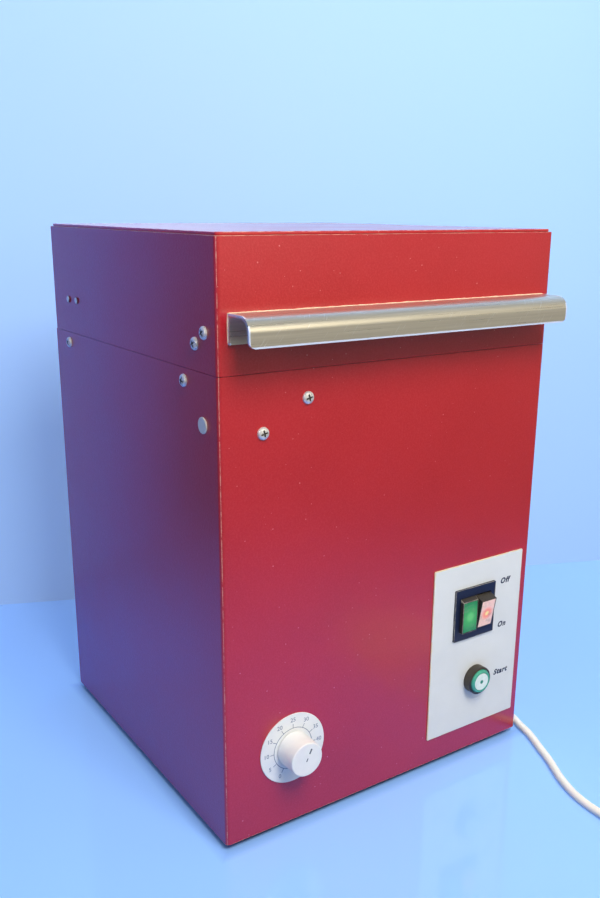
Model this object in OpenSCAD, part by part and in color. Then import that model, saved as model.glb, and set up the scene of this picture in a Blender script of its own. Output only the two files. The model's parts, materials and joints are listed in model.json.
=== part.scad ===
// Dry block heater: a tall sheet-steel cabinet with a deep hinged lid, a full-width
// pull on the lid, a dial, a two-part switch and a start button on the front.
// Millimetres, Z up. The front faces -Y. Z = 0 is the floor under the feet.
// Inside the modules a point is measured from the cabinet's front left bottom
// sheet corner: X to the right, Y to the back, Z up. placed() moves it to the frame.

/* [Cabinet] */
// outside width of the cabinet
body_w = 275; // [265:1:310]
// outside depth of the cabinet, front face to rear face
body_d = 272; // [262:1:310]
// height of the lower body up to the lid seam
body_h = 320; // [312:1:360]
// height of the lid's side walls
lid_h = 80; // [76:1:110]
// thickness of the painted steel sheet
sheet_t = 1.5; // [1.2:0.1:1.8]
// outside radius of the bent upright edges
bend_r = 3; // [2.5:0.5:5]
// gap between the floor and the sheet body
foot_h = 5; // [4:1:12]
// open line between lid and body
seam_gap = 0.6; // [0.4:0.1:1.2]

/* [Lid pull] */
// distance from the cabinet's side to the end of the pull
pull_margin = 7; // [5:1:25]
// how far the pull stands out of the lid front
pull_out = 24; // [20:0.5:32]
// height of the pull
pull_h = 18; // [16:0.5:26]
// wall thickness of the pull
pull_wall = 2; // [1.5:0.5:3]

/* [Heating block] */
// width of the aluminium block
block_w = 150; // [144:1:160]
// depth of the aluminium block, front to back
block_d = 110; // [104:1:116]
// height of the drilled block, which is the depth of its wells
block_h = 76; // [60:1:80]
// diameter of a tube well
well_d = 26; // [16:1:28]
// thickness of the heater plate under the block
heater_plate_h = 20; // [18:1:26]

/* [Controls] */
// width of the pale control plate
plate_w = 91; // [80:1:96]
// height of the pale control plate
plate_h = 140; // [130:1:160]
// diameter of the dial plate behind the knob
dial_d = 52; // [44:1:60]
// diameter of the knob at its foot
knob_d = 26; // [22:1:32]
// how far the knob stands out of the dial plate
knob_h = 17; // [14:1:22]
// diameter of the start button's ring
button_d = 22.5; // [22:0.5:28]

/* [Cord] */
// diameter of the mains cord
cord_d = 6; // [5:0.5:6.5]

/* [Hidden] */
$fn = 48;
// overshoot of cutting shapes past a face
cut = 1;
// room between a part and the edges around it
fit_play = 0.3;
// room between a panel cut-out and what is clipped into it
cutout_play = 0.4;

// M4 pan head screws with a cross recess
screw_r = 2;
screw_play = 0.1;
screw_l = 6;
screw_head_r = 4.1;
screw_head_h = 2.2;
recess_l = 4.8;
recess_w = 1;
recess_h = 1.3;

// cabinet sheet: turned-in edges and screw places
flange = 12;
flange_mid = sheet_t + flange / 2;
rear_screw_z = [30, body_h / 2, body_h - 40];
base_screw_y = [60, body_d / 2, body_d - 60];
// room between inner sheets and the round bends of the cabinet
bend_room = 2;
base_t = 1.5;
floor_z = sheet_t + base_t;
// vent slots in the rear panel and the bottom plate
vent_n = 6;
vent_w = 90;
vent_h = 4;
vent_pitch = 14;
vent_z = 90;
slot_n = 8;
slot_w = 70;
slot_h = 5;
slot_pitch = 16;
// rubber feet
foot_inset = 28;
foot_r = 11;
foot_taper = 1;
foot_recess_r = 5;
foot_recess_h = 3;

// deck: top face a little under the seam
deck_t = 1.5;
deck_z = body_h - 2;
deck_flange = 14;
deck_screw_z = body_h - 8;
deck_screw_y = [43.7, body_d - 30];
deck_y0 = sheet_t + bend_room;
deck_y1 = body_d - 2 * sheet_t - fit_play;

// hinge outside the rear face, at seam height
hinge_r = 3.2;
hinge_off = 3.5;
hinge_y = body_d + hinge_off;
hinge_z = body_h + seam_gap / 2;
pin_r = 1.5;
pin_play = 0.05;
leaf_t = 1.2;
leaf_h = 24;
hinge_w = body_w - 35;
hinge_x = (body_w - hinge_w) / 2;
knuckles = 5;
knuckle_gap = 0.4;
knuckle_room = 1.4;
knuckle_w = hinge_w / knuckles;
leaf_screw_x = [20, hinge_w / 2, hinge_w - 20];
leaf_screw_off = leaf_h / 2 + 4;
leaf_screw_r = 1.5;
leaf_screw_l = 5;
leaf_head_r = 2.8;
leaf_head_h = 1.3;

// gland at the rear, low on the right, and its strain relief
gland_x = body_w - 53;
gland_z = 38;
gland_out = 30;
gland_nose = 7;
gland_hex_r = 11;
gland_thread_r = 7.9;
gland_thread_l = 10;
gland_skin = 1.6;
gland_nut_r = 12;
gland_nut_h = 5;
// the frame's origin is under the middle of the box around all but the cord
front_y = (pull_out - gland_out - body_d) / 2;

// lid: cover plate, liner and seal
lid_z0 = body_h + seam_gap;
lid_z1 = body_h + lid_h;
lid_top_t = 2;
lid_top_inset = 1.6;
lid_top_r = 3;
liner_t = 1;
liner_in = 21;
liner_flange_z = body_h + 1.5;
liner_top = lid_z1 - 16;
gasket_w = 7;
gasket_in = 12;
gasket_r = 8;
// pull on the lid front
pull_z0 = body_h + 18.7;
pull_z1 = pull_z0 + pull_h;
pull_r = min(9, pull_h / 2);
pull_corner = 5;
pull_screw_pitch = body_w / 2 - 42.5;
pull_screw_z = pull_z0 + pull_h / 2;
// catch hook on the lid
hook_x0 = 4.5;
hook_t = 2.5;
hook_half = 7;
hook_z0 = body_h + 9;
hook_step = 4;
hook_pad_h = 23;
hook_pad_front = 10;
hook_pad_back = 15;
hook_screws = [[15.7, body_h + 24.3], [27.5, body_h + 16.7]];
// latch behind the front face
latch_y = 19.2;
latch_z = body_h - 31.9;
latch_screws = [[63.3, body_h - 18.2], [30.4, body_h - 36.9]];
bracket_x0 = 23;
bracket_x1 = 71;
bracket_t = 2;
bracket_d = 34;
bracket_down = 14;
bracket_up = 20;
solenoid_x0 = 36;
solenoid_x1 = 69;
solenoid_y0 = 8;
solenoid_half = bracket_down - bracket_t;
bolt_r = 4;
hook_eye = bolt_r + 0.6;
bolt_x0 = hook_x0 + hook_t + 2;
bolt_x1 = 64;
bolt_bore_end = 67;
collar_x = bolt_x0 + 14;
collar_t = 2;
collar_r = bolt_r + 2.5;
plug_r = 5.2;
plug_t = 1.2;
plug_hole_r = 4.5;
// lid stay: a flat arc around the hinge line
stay_x0 = 4.5;
stay_t = 2;
stay_r0 = 47;
stay_r1 = 58;
stay_mid_r = (stay_r0 + stay_r1) / 2;
stay_low = -80.5;
stay_stop = -78.5;
stay_stud_r = 3;
stay_stud_l = 6;
stay_pad_x = [31, 61];
stay_pad_z = [17, 33];
stay_pad_r = 4;
stay_rivet_at = [[37.3, 25.5], [54.5, 25.8]];
rivet_r = 2;
rivet_head_r = 3.4;
rivet_head_h = 1.4;
rivet_face_r = 2.5;
rivet_face_h = 1;

// heating block and what holds it
block_cx = body_w / 2;
block_cy = body_d / 2 + 4;
block_top = body_h;
block_foot = block_top - block_h;
block_bot = block_foot - heater_plate_h;
wool_t = 20;
wool_gap = 0.6;
wool_under = 30;
wool_top = deck_z - 8;
housing_t = 1;
housing_x = block_w / 2 + wool_gap + wool_t;
housing_y = block_d / 2 + wool_gap + wool_t;
housing_z0 = block_bot - wool_under - housing_t;
housing_top = deck_z - deck_t;
housing_lip = 10;
housing_screw_in = 15;
trim_gap = 6;
trim_lip = 5;
trim_h = 6;
trim_t = 1.5;
heater_r = 4.75;
heater_z = block_bot + 9;
heater_y = block_d / 2 - 22;
heater_out = 12;
heater_stop = 10;
heater_way_r = 6;
bulb_r = 3;
bulb_out = 8;
capillary_r = 1;
capillary_way_r = 4;
capillary_z = 150;
capillary_y = 44;
post_in = 16;
post_r = 6;
well_cols = 3;
well_rows = 2;
well_px = block_w / well_cols;
well_py = block_d / well_rows;
// snap-disc cut-out under the heater plate
disc_r = 8;
disc_h = 12;
disc_ear = [14, 4, 1.5];
disc_tab = [2.5, 0.4, 11];
disc_tab_x = 4;
disc_way_r = 21;

// pale plate on the front, and the places of switch and button on it
plate_t = 1.2;
plate_r = 1.2;
plate_x1 = body_w - 7.8;
plate_x0 = plate_x1 - plate_w;
plate_z0 = 20.2;
switch_x = plate_x0 + 41.4;
switch_drop = 40.8;
switch_z = plate_z0 + plate_h - switch_drop;
button_x = switch_x + 5;
button_z = plate_z0 + 41;
// switch: flat frame, body behind the front, two bays side by side
bezel_w = 41;
bezel_h = 42;
bezel_t = 1.6;
bezel_r = 0.8;
bezel_y = -plate_t - bezel_t;
switch_w = 36;
switch_h = 36.6;
switch_deep = 28;
terminal_x = [-12, -4, 4, 12];
terminal = [3, 8, 0.4];
bay_w = 15.5;
bay_h = 28;
bay_wall = 0.8;
bay_play = 0.3;
bay_deep = 20;
// lamp block in the left bay: stands out, its top slopes down to the front
pilot_x = switch_x - bay_wall / 2 - bay_w / 2;
pilot_y = bezel_y - 3.5;
pilot_half = bay_h / 2 - bay_play;
pilot_slope = 2;
pilot_rim = 0.6;
pilot_lens_t = 1.5;
// rocker in the right bay, resting with its top end out
rocker_x = switch_x + bay_wall / 2 + bay_w / 2;
rocker_w = bay_w - 2 * bay_play;
rocker_tilt = 10;
rocker_pivot_y = 1.3;
rocker_face = 8.8;
rocker_half = 12;
rocker_belly = 13.6;
rocker_lens_t = 1.6;
rocker_rim = 0.7;
rocker_pin_r = 2;
rocker_pin_l = 1.2;
// start button
button_out = 8.3;
button_rim = 1.35;
button_edge = 0.8;
button_bore = button_d / 2 - button_rim;
button_cap_r = button_bore - fit_play;
button_cap_out = 1.5;
button_cap_in = 3.5;
button_disc_r = button_cap_r - 2.7;
button_disc_t = 0.8;
stem_r = 6.1;
stem_end = 20;
tube_r = 8.2;
tube_bore = 6.45;
tube_end = 22;
button_floor = 0.5;
button_nut_r = 11.5;
button_nut_h = 4;
// dial, knob and the thermostat behind them
dial_x = 52.5;
dial_z = 58;
dial_t = 1;
knob_gap = 0.6;
knob_taper = 0.6;
knob_edge = 1;
knob_grip = 11;
knob_mark = [1.2, 4, 0.5];
knob_mark_turn = -27;
shaft_r = 3;
shaft_in = 9;
bush_r = 4.7;
thermo_half = 22;
thermo_d = 32;
thermo_screw_x = [-14, 14];
thermo_screw_r = 1.5;
thermo_screw_l = 6;

// relay and terminal strip on the bottom plate, and the wires between the parts
relay_x = body_w / 2 - 7.5;
relay_y = body_d / 2 + 14;
relay_w = 48;
relay_d = 40;
relay_h = 44;
relay_socket_h = 4;
relay_inset = 3;
relay_top = floor_z + relay_h;
strip_y = body_d - 51;
strip_w = 52;
strip_d = 22;
strip_h = 20;
strip_pitch = 13;
strip_hole_r = 3;
strip_hole_h = 12;
strip_top = floor_z + strip_h;
wire_r = 1.2;
wire_room = 8;
wire_y = strip_y + 6;
wire_up = 10;
wire_front_y = 60;
wire_low_z = 70;
wire_high_z = 80;

// power cord: floor frame, Z from the floor
cord_r = cord_d / 2;
coil_x = body_w + 10;
coil_y = -170;
coil_r = 43;
coil_pitch = cord_d + 1.4;
coil_rise = cord_d + 1;
tie_t = 1;
tie_gap = 0.4;
tie_w = 6;
coil_z = tie_t + tie_gap + cord_r;
coil_spiral = 2.5;
coil_tail = 40;
coil_rings = 24;
coil_sides = 6;
run_sides = 10;
run_steps = 3;
// moulded plug with three round pins
plug_boot_l = 12;
plug_w = 36;
plug_l = 32;
plug_h = 2 * (coil_z + coil_rise);
plug_edge = 5;
plug_sink = 2;
pin_l = 19;
plug_pin_r = 2.4;
plug_pin_at = [[-9.5, -2], [9.5, -2], [0, 3]];

// route of the cord from the gland to the coil, read off the floor where it shows
route = [
    [gland_x, body_d - 2, gland_z + foot_h],
    [gland_x, body_d + 14, gland_z + foot_h],
    [gland_x, body_d + 30, gland_z + foot_h],
    [gland_x, body_d + 42, gland_z + foot_h - 0.5],
    [gland_x + 6, body_d + 60, gland_z + foot_h - 6],
    [gland_x + 20, body_d + 74, gland_z + foot_h - 16],
    [gland_x + 40, body_d + 77, gland_z + foot_h - 28],
    [body_w + 6, body_d + 65, cord_r + 4],
    [body_w + 15, body_d + 42, cord_r],
    [body_w + 17, body_d + 6, cord_r],
    [body_w + 16, body_d - 60, cord_r],
    [body_w + 15, body_d - 120, cord_r],
    [body_w + 16, body_d - 180, cord_r],
    [body_w + 16, 50, cord_r],
    [body_w + 13, 20, cord_r],
    [body_w + 7.5, 0.5, cord_r],
    [body_w + 3, -15, cord_r],
    [body_w - 5, -33, cord_r],
    [body_w - 12, -49, cord_r],
    [body_w - 22, -68, cord_r],
    [body_w - 28, -83, cord_r],
    [body_w - 31, -95, cord_r],
    [body_w - 32.5, -107, cord_r + 0.2],
    [coil_x - coil_r, -125, cord_r + 0.8],
    [coil_x - coil_r, -145, coil_z],
    [coil_x - coil_r, coil_y + cord_d, coil_z]
];

// moves a cabinet point into the frame
module placed() {
    translate([-body_w / 2, front_y, foot_h]) children();
}

// the same for pieces that lie on the floor
module on_floor() {
    translate([-body_w / 2, front_y, 0]) children();
}

// box between two corners
module block(a, b) {
    translate(a) cube(b - a);
}

// round bar along X, Y or Z
module bar_x(x0, x1, y, z, r) {
    translate([x0, y, z]) rotate([0, 90, 0]) cylinder(h = x1 - x0, r = r);
}

module bar_y(x, y0, y1, z, r) {
    translate([x, y0, z]) rotate([-90, 0, 0]) cylinder(h = y1 - y0, r = r);
}

module bar_z(x, y, z0, z1, r) {
    translate([x, y, z0]) cylinder(h = z1 - z0, r = r);
}

// flat outline turned upright: drawn in X and Z, thickness from y0 back to y1
module upright(y0, y1) {
    translate([0, y1, 0]) rotate([90, 0, 0]) linear_extrude(y1 - y0) children();
}

// flat outline drawn in Y and Z, thickness from x0 to x1
module sideways(x0, x1) {
    translate([x0, 0, 0]) rotate([90, 0, 90]) linear_extrude(x1 - x0) children();
}

// plan of the cabinet: front corners rounded, rear corners rounded when rear_r > 0
module plan(w, d, r, rear_r) {
    difference() {
        square([w, d]);
        for (side = [0, 1])
            translate([side * w, 0]) mirror([side, 0]) difference() {
                translate([-cut, -cut]) square(r + cut);
                translate([r, r]) circle(r);
            }
        if (rear_r > 0)
            for (side = [0, 1])
                translate([side * w, d]) mirror([side, 0]) mirror([0, 1]) difference() {
                    translate([-cut, -cut]) square(rear_r + cut);
                    translate([rear_r, rear_r]) circle(rear_r);
                }
    }
}

// rectangle with four round corners
module round_rect(x0, x1, y0, y1, r) {
    translate([x0 + r, y0]) square([x1 - x0 - 2 * r, y1 - y0]);
    translate([x0, y0 + r]) square([x1 - x0, y1 - y0 - 2 * r]);
    for (x = [x0 + r, x1 - r])
        for (y = [y0 + r, y1 - r])
            translate([x, y]) circle(r);
}

// a wire of straight runs with round corners, given its corner points
module wire(points, r) {
    for (i = [0 : len(points) - 2]) {
        run = points[i + 1] - points[i];
        translate(points[i])
            rotate([0, acos(run[2] / norm(run)), atan2(run[1], run[0])])
                cylinder(h = norm(run), r = r, $fn = 16);
        if (i > 0)
            translate(points[i]) sphere(r, $fn = 16);
    }
}

// pan head screw pointing up, its head below z = 0
module pan_screw(length) {
    cylinder(h = length, r = screw_r);
    difference() {
        translate([0, 0, -screw_head_h]) cylinder(h = screw_head_h, r = screw_head_r);
        for (turn = [0, 90])
            rotate(turn) translate([-recess_l / 2, -recess_w / 2, -screw_head_h - cut])
                cube([recess_l, recess_w, cut + recess_h]);
    }
}

// the hole a screw goes through, longer than the screw at both ends
module screw_hole() {
    translate([0, 0, -cut]) cylinder(h = screw_l + 2 * cut, r = screw_r + screw_play);
}

// where each case screw sits and which way it points
module at_deck_screws() {
    for (y = deck_screw_y) {
        translate([0, y, deck_screw_z]) rotate([0, 90, 0]) children();
        translate([body_w, y, deck_screw_z]) rotate([0, -90, 0]) children();
    }
}

module at_latch_screws() {
    for (p = latch_screws)
        translate([p[0], 0, p[1]]) rotate([-90, 0, 0]) children();
}

module at_rear_screws() {
    for (x = [flange_mid, body_w - flange_mid])
        for (z = rear_screw_z)
            translate([x, body_d, z]) rotate([90, 0, 0]) children();
}

module at_base_screws() {
    for (x = [flange_mid, body_w - flange_mid])
        for (y = base_screw_y)
            translate([x, y, 0]) children();
}

module at_housing_screws() {
    for (x = [-1, 1])
        for (y = [-1, 1])
            translate([block_cx + x * (housing_x + housing_t + housing_lip / 2),
                       block_cy + y * (housing_y - housing_screw_in), deck_z])
                rotate([180, 0, 0]) children();
}

module at_feet() {
    for (x = [foot_inset, body_w - foot_inset])
        for (y = [foot_inset, body_d - foot_inset])
            translate([x, y, 0]) children();
}

module at_wells() {
    for (i = [0 : well_cols - 1])
        for (j = [0 : well_rows - 1])
            translate([block_cx + (i - (well_cols - 1) / 2) * well_px,
                       block_cy + (j - (well_rows - 1) / 2) * well_py, block_foot])
                children();
}

module at_posts() {
    for (x = [-1, 1])
        for (y = [-1, 1])
            translate([block_cx + x * (block_w / 2 - post_in),
                       block_cy + y * (block_d / 2 - post_in), 0])
                children();
}

module at_thermostat_screws() {
    for (x = thermo_screw_x)
        translate([dial_x + x, 0, dial_z]) children();
}

module at_leaf_screws(z) {
    for (x = leaf_screw_x)
        translate([hinge_x + x, body_d, z]) children();
}

module at_pull_screws() {
    for (i = [-1 : 1])
        translate([body_w / 2 + i * pull_screw_pitch, 0, pull_screw_z]) children();
}

// cut-outs of the front for switch, button and thermostat bush
module switch_cutout(y0, y1) {
    block([switch_x - switch_w / 2 - cutout_play, y0, switch_z - switch_h / 2 - cutout_play],
          [switch_x + switch_w / 2 + cutout_play, y1, switch_z + switch_h / 2 + cutout_play]);
}

module button_cutout(y0, y1) {
    bar_y(button_x, y0, y1, button_z, tube_r + fit_play);
}

// painted steel sheet bent round the front and both sides
module cabinet_wrap() color("#a32236") placed() difference() {
    union() {
        linear_extrude(body_h) difference() {
            plan(body_w, body_d - sheet_t, bend_r, 0);
            translate([sheet_t, sheet_t])
                plan(body_w - 2 * sheet_t, body_d - 3 * sheet_t, bend_r - sheet_t, 0);
            translate([sheet_t + flange, body_d / 2])
                square([body_w - 2 * sheet_t - 2 * flange, body_d]);
        }
        linear_extrude(sheet_t) difference() {
            plan(body_w, body_d - sheet_t, bend_r, 0);
            translate([sheet_t + flange, sheet_t + flange])
                square([body_w - 2 * sheet_t - 2 * flange, body_d]);
        }
    }
    at_deck_screws() screw_hole();
    at_latch_screws() screw_hole();
    at_rear_screws() screw_hole();
    at_base_screws() screw_hole();
    bar_x(-cut, sheet_t + cut, latch_y, latch_z, plug_hole_r);
    switch_cutout(-cut, sheet_t + cut);
    button_cutout(-cut, sheet_t + cut);
    bar_y(dial_x, -cut, sheet_t + cut, dial_z, bush_r + fit_play);
    at_thermostat_screws() bar_y(0, -cut, sheet_t + cut, 0, thermo_screw_r + screw_play);
}

// flat rear panel with vent slots, over the sides' turned-in edges
module rear_panel() color("#a32236") placed() difference() {
    block([fit_play, body_d - sheet_t, 0], [body_w - fit_play, body_d, body_h]);
    at_rear_screws() screw_hole();
    bar_y(gland_x, body_d - sheet_t - cut, body_d + cut, gland_z, gland_thread_r + 2 * screw_play);
    at_leaf_screws(hinge_z - leaf_screw_off)
        bar_y(0, -sheet_t - cut, cut, 0, leaf_screw_r + screw_play);
    for (i = [0 : vent_n - 1])
        block([body_w / 2 - vent_w / 2, body_d - sheet_t - cut, vent_z + vent_pitch * i],
              [body_w / 2 + vent_w / 2, body_d + cut, vent_z + vent_pitch * i + vent_h]);
}

// flat bottom plate with air slots, on the turned-in bottom edges
module base_plate() color("#8d8f90") placed() difference() {
    block([sheet_t + fit_play, deck_y0, sheet_t], [body_w - sheet_t - fit_play, deck_y1, floor_z]);
    at_base_screws() screw_hole();
    at_feet() bar_z(0, 0, 0, floor_z + cut, screw_r + screw_play);
    for (i = [0 : slot_n - 1]) {
        y = body_d / 2 + (i - (slot_n - 1) / 2) * slot_pitch;
        block([body_w / 2 - slot_w / 2, y - slot_h / 2, 0],
              [body_w / 2 + slot_w / 2, y + slot_h / 2, floor_z + cut]);
    }
}

// all M4 pan head screws of the fixed case: deck, latch, rear, bottom, housing and feet
module case_screws() color("#c9ccd0") placed() {
    at_deck_screws() pan_screw(screw_l);
    at_latch_screws() pan_screw(screw_l);
    at_rear_screws() pan_screw(screw_l);
    at_base_screws() pan_screw(screw_l);
    at_housing_screws() pan_screw(screw_l);
    at_feet() translate([0, 0, foot_recess_h - foot_h]) pan_screw(foot_h + screw_l - foot_recess_h);
}

// four rubber feet, hollowed from below for the screw head
module feet() color("#26272a") placed() at_feet() difference() {
    translate([0, 0, -foot_h])
        cylinder(h = foot_h + sheet_t, r1 = foot_r - foot_taper, r2 = foot_r);
    translate([0, 0, -foot_h - cut]) cylinder(h = cut + foot_recess_h, r = foot_recess_r);
    bar_z(0, 0, -foot_h, sheet_t + cut, screw_r + screw_play);
}

// sheet deck under the lid: block opening, slots for the catch hook and the lid stay
module top_deck() color("#d9dadb") placed() {
    slot_room = 1;
    difference() {
        union() {
            block([sheet_t, deck_y0, deck_z - deck_t], [body_w - sheet_t, deck_y1, deck_z]);
            for (x = [sheet_t, body_w - 2 * sheet_t])
                block([x, deck_y0, deck_z - deck_flange], [x + sheet_t, deck_y1, deck_z]);
        }
        at_deck_screws() screw_hole();
        at_housing_screws() screw_hole();
        around_block(trim_gap, deck_z - deck_t - cut, deck_z + cut);
        block([hook_x0 - slot_room, latch_y - hook_half - 4.5, deck_z - deck_t - cut],
              [hook_x0 + hook_t + slot_room, latch_y + hook_half + 1.5, deck_z + cut]);
        block([stay_x0 - slot_room, hinge_y - stay_r1 - slot_room, deck_z - deck_t - cut],
              [stay_x0 + stay_t + slot_room, hinge_y - stay_r0 + 1.5 * slot_room, deck_z + cut]);
    }
}

// box around the heating block, larger by room on its four sides
module around_block(room, z0, z1) {
    block([block_cx - block_w / 2 - room, block_cy - block_d / 2 - room, z0],
          [block_cx + block_w / 2 + room, block_cy + block_d / 2 + room, z1]);
}

// ways of the heater leads and the capillary through housing and wool
module lead_ways() {
    for (y = [-heater_y, heater_y])
        bar_x(block_cx - housing_x - housing_t - cut, block_cx, block_cy + y, heater_z, heater_way_r);
    bar_x(block_cx, block_cx + housing_x + housing_t + cut, block_cy, heater_z, capillary_way_r);
    bar_z(block_cx, block_cy, housing_z0 - cut, block_bot, disc_way_r);
}

// sheet box that hangs under the deck and carries the block in its insulation
module block_housing() color("#b9bcbf") placed() {
    wall = wool_gap + wool_t;
    difference() {
        union() {
            around_block(wall + housing_t, housing_z0, housing_top);
            block([block_cx - housing_x - housing_t - housing_lip,
                   block_cy - housing_y - housing_t, housing_top - housing_t],
                  [block_cx + housing_x + housing_t + housing_lip,
                   block_cy + housing_y + housing_t, housing_top]);
        }
        around_block(wall, housing_z0 + housing_t, housing_top + cut);
        at_housing_screws() screw_hole();
        lead_ways();
    }
}

// ceramic wool around and under the block
module block_insulation() color("#efece2") placed() difference() {
    around_block(wool_gap + wool_t, housing_z0 + housing_t, wool_top);
    around_block(wool_gap, block_bot, body_h);
    at_posts() bar_z(0, 0, housing_z0, block_bot + cut, post_r + fit_play);
    lead_ways();
}

// four ceramic posts between housing and heater plate
module block_supports() color("#f4f1e8") placed() at_posts()
    bar_z(0, 0, housing_z0 + housing_t, block_bot, post_r);

// aluminium plate that holds the heaters and the bulb; the block stands on it
module heater_plate() color("#b4b7ba") placed() difference() {
    around_block(0, block_bot, block_foot);
    for (y = [-heater_y, heater_y])
        bar_x(block_cx - block_w / 2 - cut, block_cx + block_w / 2 - heater_stop, block_cy + y,
              heater_z, heater_r + screw_play);
    bar_x(block_cx, block_cx + block_w / 2 + cut, block_cy, heater_z, bulb_r + 2 * screw_play);
}

// aluminium block drilled with tube wells, lifted out to change it
module heating_block() color("#c4c7ca") placed() difference() {
    around_block(0, block_foot, block_top);
    at_wells() bar_z(0, 0, -cut, block_h + cut, well_d / 2);
}

// white trim frame that closes the gap between block and deck
module block_trim() color("#f3f3ef") placed() difference() {
    union() {
        around_block(trim_gap - fit_play, deck_z - trim_h, deck_z + trim_t);
        around_block(trim_gap + trim_lip, deck_z, deck_z + trim_t);
    }
    around_block(fit_play, deck_z - trim_h - cut, deck_z + trim_t + cut);
}

// two heating cartridges pushed into the plate from the left
module cartridge_heaters() color("#8f8a80") placed()
    for (y = [-heater_y, heater_y])
        bar_x(block_cx - block_w / 2 - heater_out, block_cx + block_w / 2 - heater_stop - cut,
              block_cy + y, heater_z, heater_r);

// the thermostat's bulb in the plate and its fine tube to the front
module sensing_bulb() color("#b98f5f") placed() {
    bulb_end = block_cx + block_w / 2 + bulb_out;
    tube_x = block_cx + housing_x + housing_t + 6;
    inlet_z = dial_z + thermo_half - 5;
    bar_x(block_cx + 2, bulb_end, block_cy, heater_z, bulb_r);
    bar_x(bulb_end - cut, tube_x, block_cy, heater_z, capillary_r);
    wire([[tube_x, block_cy, heater_z], [tube_x, block_cy, capillary_z],
          [tube_x, capillary_y, capillary_z], [dial_x, capillary_y, capillary_z],
          [dial_x, capillary_y, inlet_z], [dial_x, sheet_t + thermo_d, inlet_z]], capillary_r);
}

// snap-disc cut-out under the heater plate, with two flat tabs
module overheat_cutout() color("#6b5b4a") placed() translate([block_cx, block_cy, block_bot]) {
    bar_z(0, 0, -disc_h, 0, disc_r);
    block([-disc_ear[0], -disc_ear[1], -disc_ear[2]], [disc_ear[0], disc_ear[1], 0]);
    for (x = [-disc_tab_x, disc_tab_x])
        block([x - disc_tab[0], -disc_tab[1], -disc_h - disc_tab[2]],
              [x + disc_tab[0], disc_tab[1], cut - disc_h]);
}

// thermostat behind the dial: case, threaded bush and a bore for the turning shaft
module thermostat() color("#8a8d90") placed() difference() {
    union() {
        block([dial_x - thermo_half, sheet_t, dial_z - thermo_half],
              [dial_x + thermo_half, sheet_t + thermo_d, dial_z + thermo_half]);
        bar_y(dial_x, -dial_t, sheet_t + cut, dial_z, bush_r);
    }
    bar_y(dial_x, -dial_t - cut, sheet_t + shaft_in + cut, dial_z, shaft_r + pin_play);
    at_thermostat_screws()
        bar_y(0, -cut, sheet_t + thermo_screw_l + cut, 0, thermo_screw_r + screw_play);
}

// two flush screws under the dial plate
module thermostat_screws() color("#c9ccd0") placed() at_thermostat_screws()
    bar_y(0, 0, sheet_t + thermo_screw_l, 0, thermo_screw_r);

// white dial plate
module dial_plate() color("#eef0f2") placed() difference() {
    bar_y(dial_x, -dial_t, 0, dial_z, dial_d / 2);
    bar_y(dial_x, -dial_t - cut, cut, dial_z, bush_r + fit_play);
}

// shaft of the thermostat, turned by the knob
module thermostat_shaft() color("#b5b8bb") placed()
    bar_y(dial_x, -dial_t - knob_gap - knob_grip, sheet_t + shaft_in, dial_z, shaft_r);

// white knob, a little narrower at its round front edge, with a mark cut into its face
module knob() color("#f1f2f4") placed()
    translate([dial_x, -dial_t - knob_gap, dial_z]) rotate([90, 0, 0]) {
        face_r = knob_d / 2 - knob_taper;
        difference() {
            rotate_extrude() {
                polygon([[0, 0], [knob_d / 2, 0], [face_r, knob_h - knob_edge],
                         [0, knob_h - knob_edge]]);
                square([face_r - knob_edge, knob_h]);
                intersection() {
                    translate([face_r - knob_edge, knob_h - knob_edge]) circle(knob_edge);
                    square([face_r, knob_h]);
                }
            }
            bar_z(0, 0, -cut, knob_grip + pin_play, shaft_r + pin_play);
            rotate(knob_mark_turn)
                translate([-knob_mark[0] / 2, face_r / 2 - knob_mark[1] / 2, knob_h - knob_mark[2]])
                    cube([knob_mark[0], knob_mark[1], knob_mark[2] + cut]);
        }
    }

// pale plate behind switch and start button
module control_plate() color("#d8dce2") placed() difference() {
    upright(-plate_t, 0)
        round_rect(plate_x0, plate_x1, plate_z0, plate_z0 + plate_h, plate_r);
    switch_cutout(-plate_t - cut, cut);
    button_cutout(-plate_t - cut, cut);
}

// box of one bay of the switch, centred on x
module bay(x, y1) {
    block([x - bay_w / 2, bezel_y - cut, switch_z - bay_h / 2],
          [x + bay_w / 2, y1, switch_z + bay_h / 2]);
}

// pocket of the lamp lens in the lamp block's face
module pilot_pocket(depth) {
    block([pilot_x - bay_w / 2 + bay_play + pilot_rim, pilot_y - cut,
           switch_z - pilot_half + pilot_rim],
          [pilot_x + bay_w / 2 - bay_play - pilot_rim, pilot_y + depth,
           switch_z + pilot_half - pilot_slope - pilot_rim]);
}

// lamp block: stands out of the left bay, its top sloping down to the front
module pilot_block() {
    translate([0, 0, switch_z])
        sideways(pilot_x - bay_w / 2 + bay_play, pilot_x + bay_w / 2 - bay_play)
            polygon([[pilot_y, pilot_half - pilot_slope], [bezel_y, pilot_half], [0, pilot_half],
                     [0, -pilot_half], [pilot_y, -pilot_half]]);
}

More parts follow.
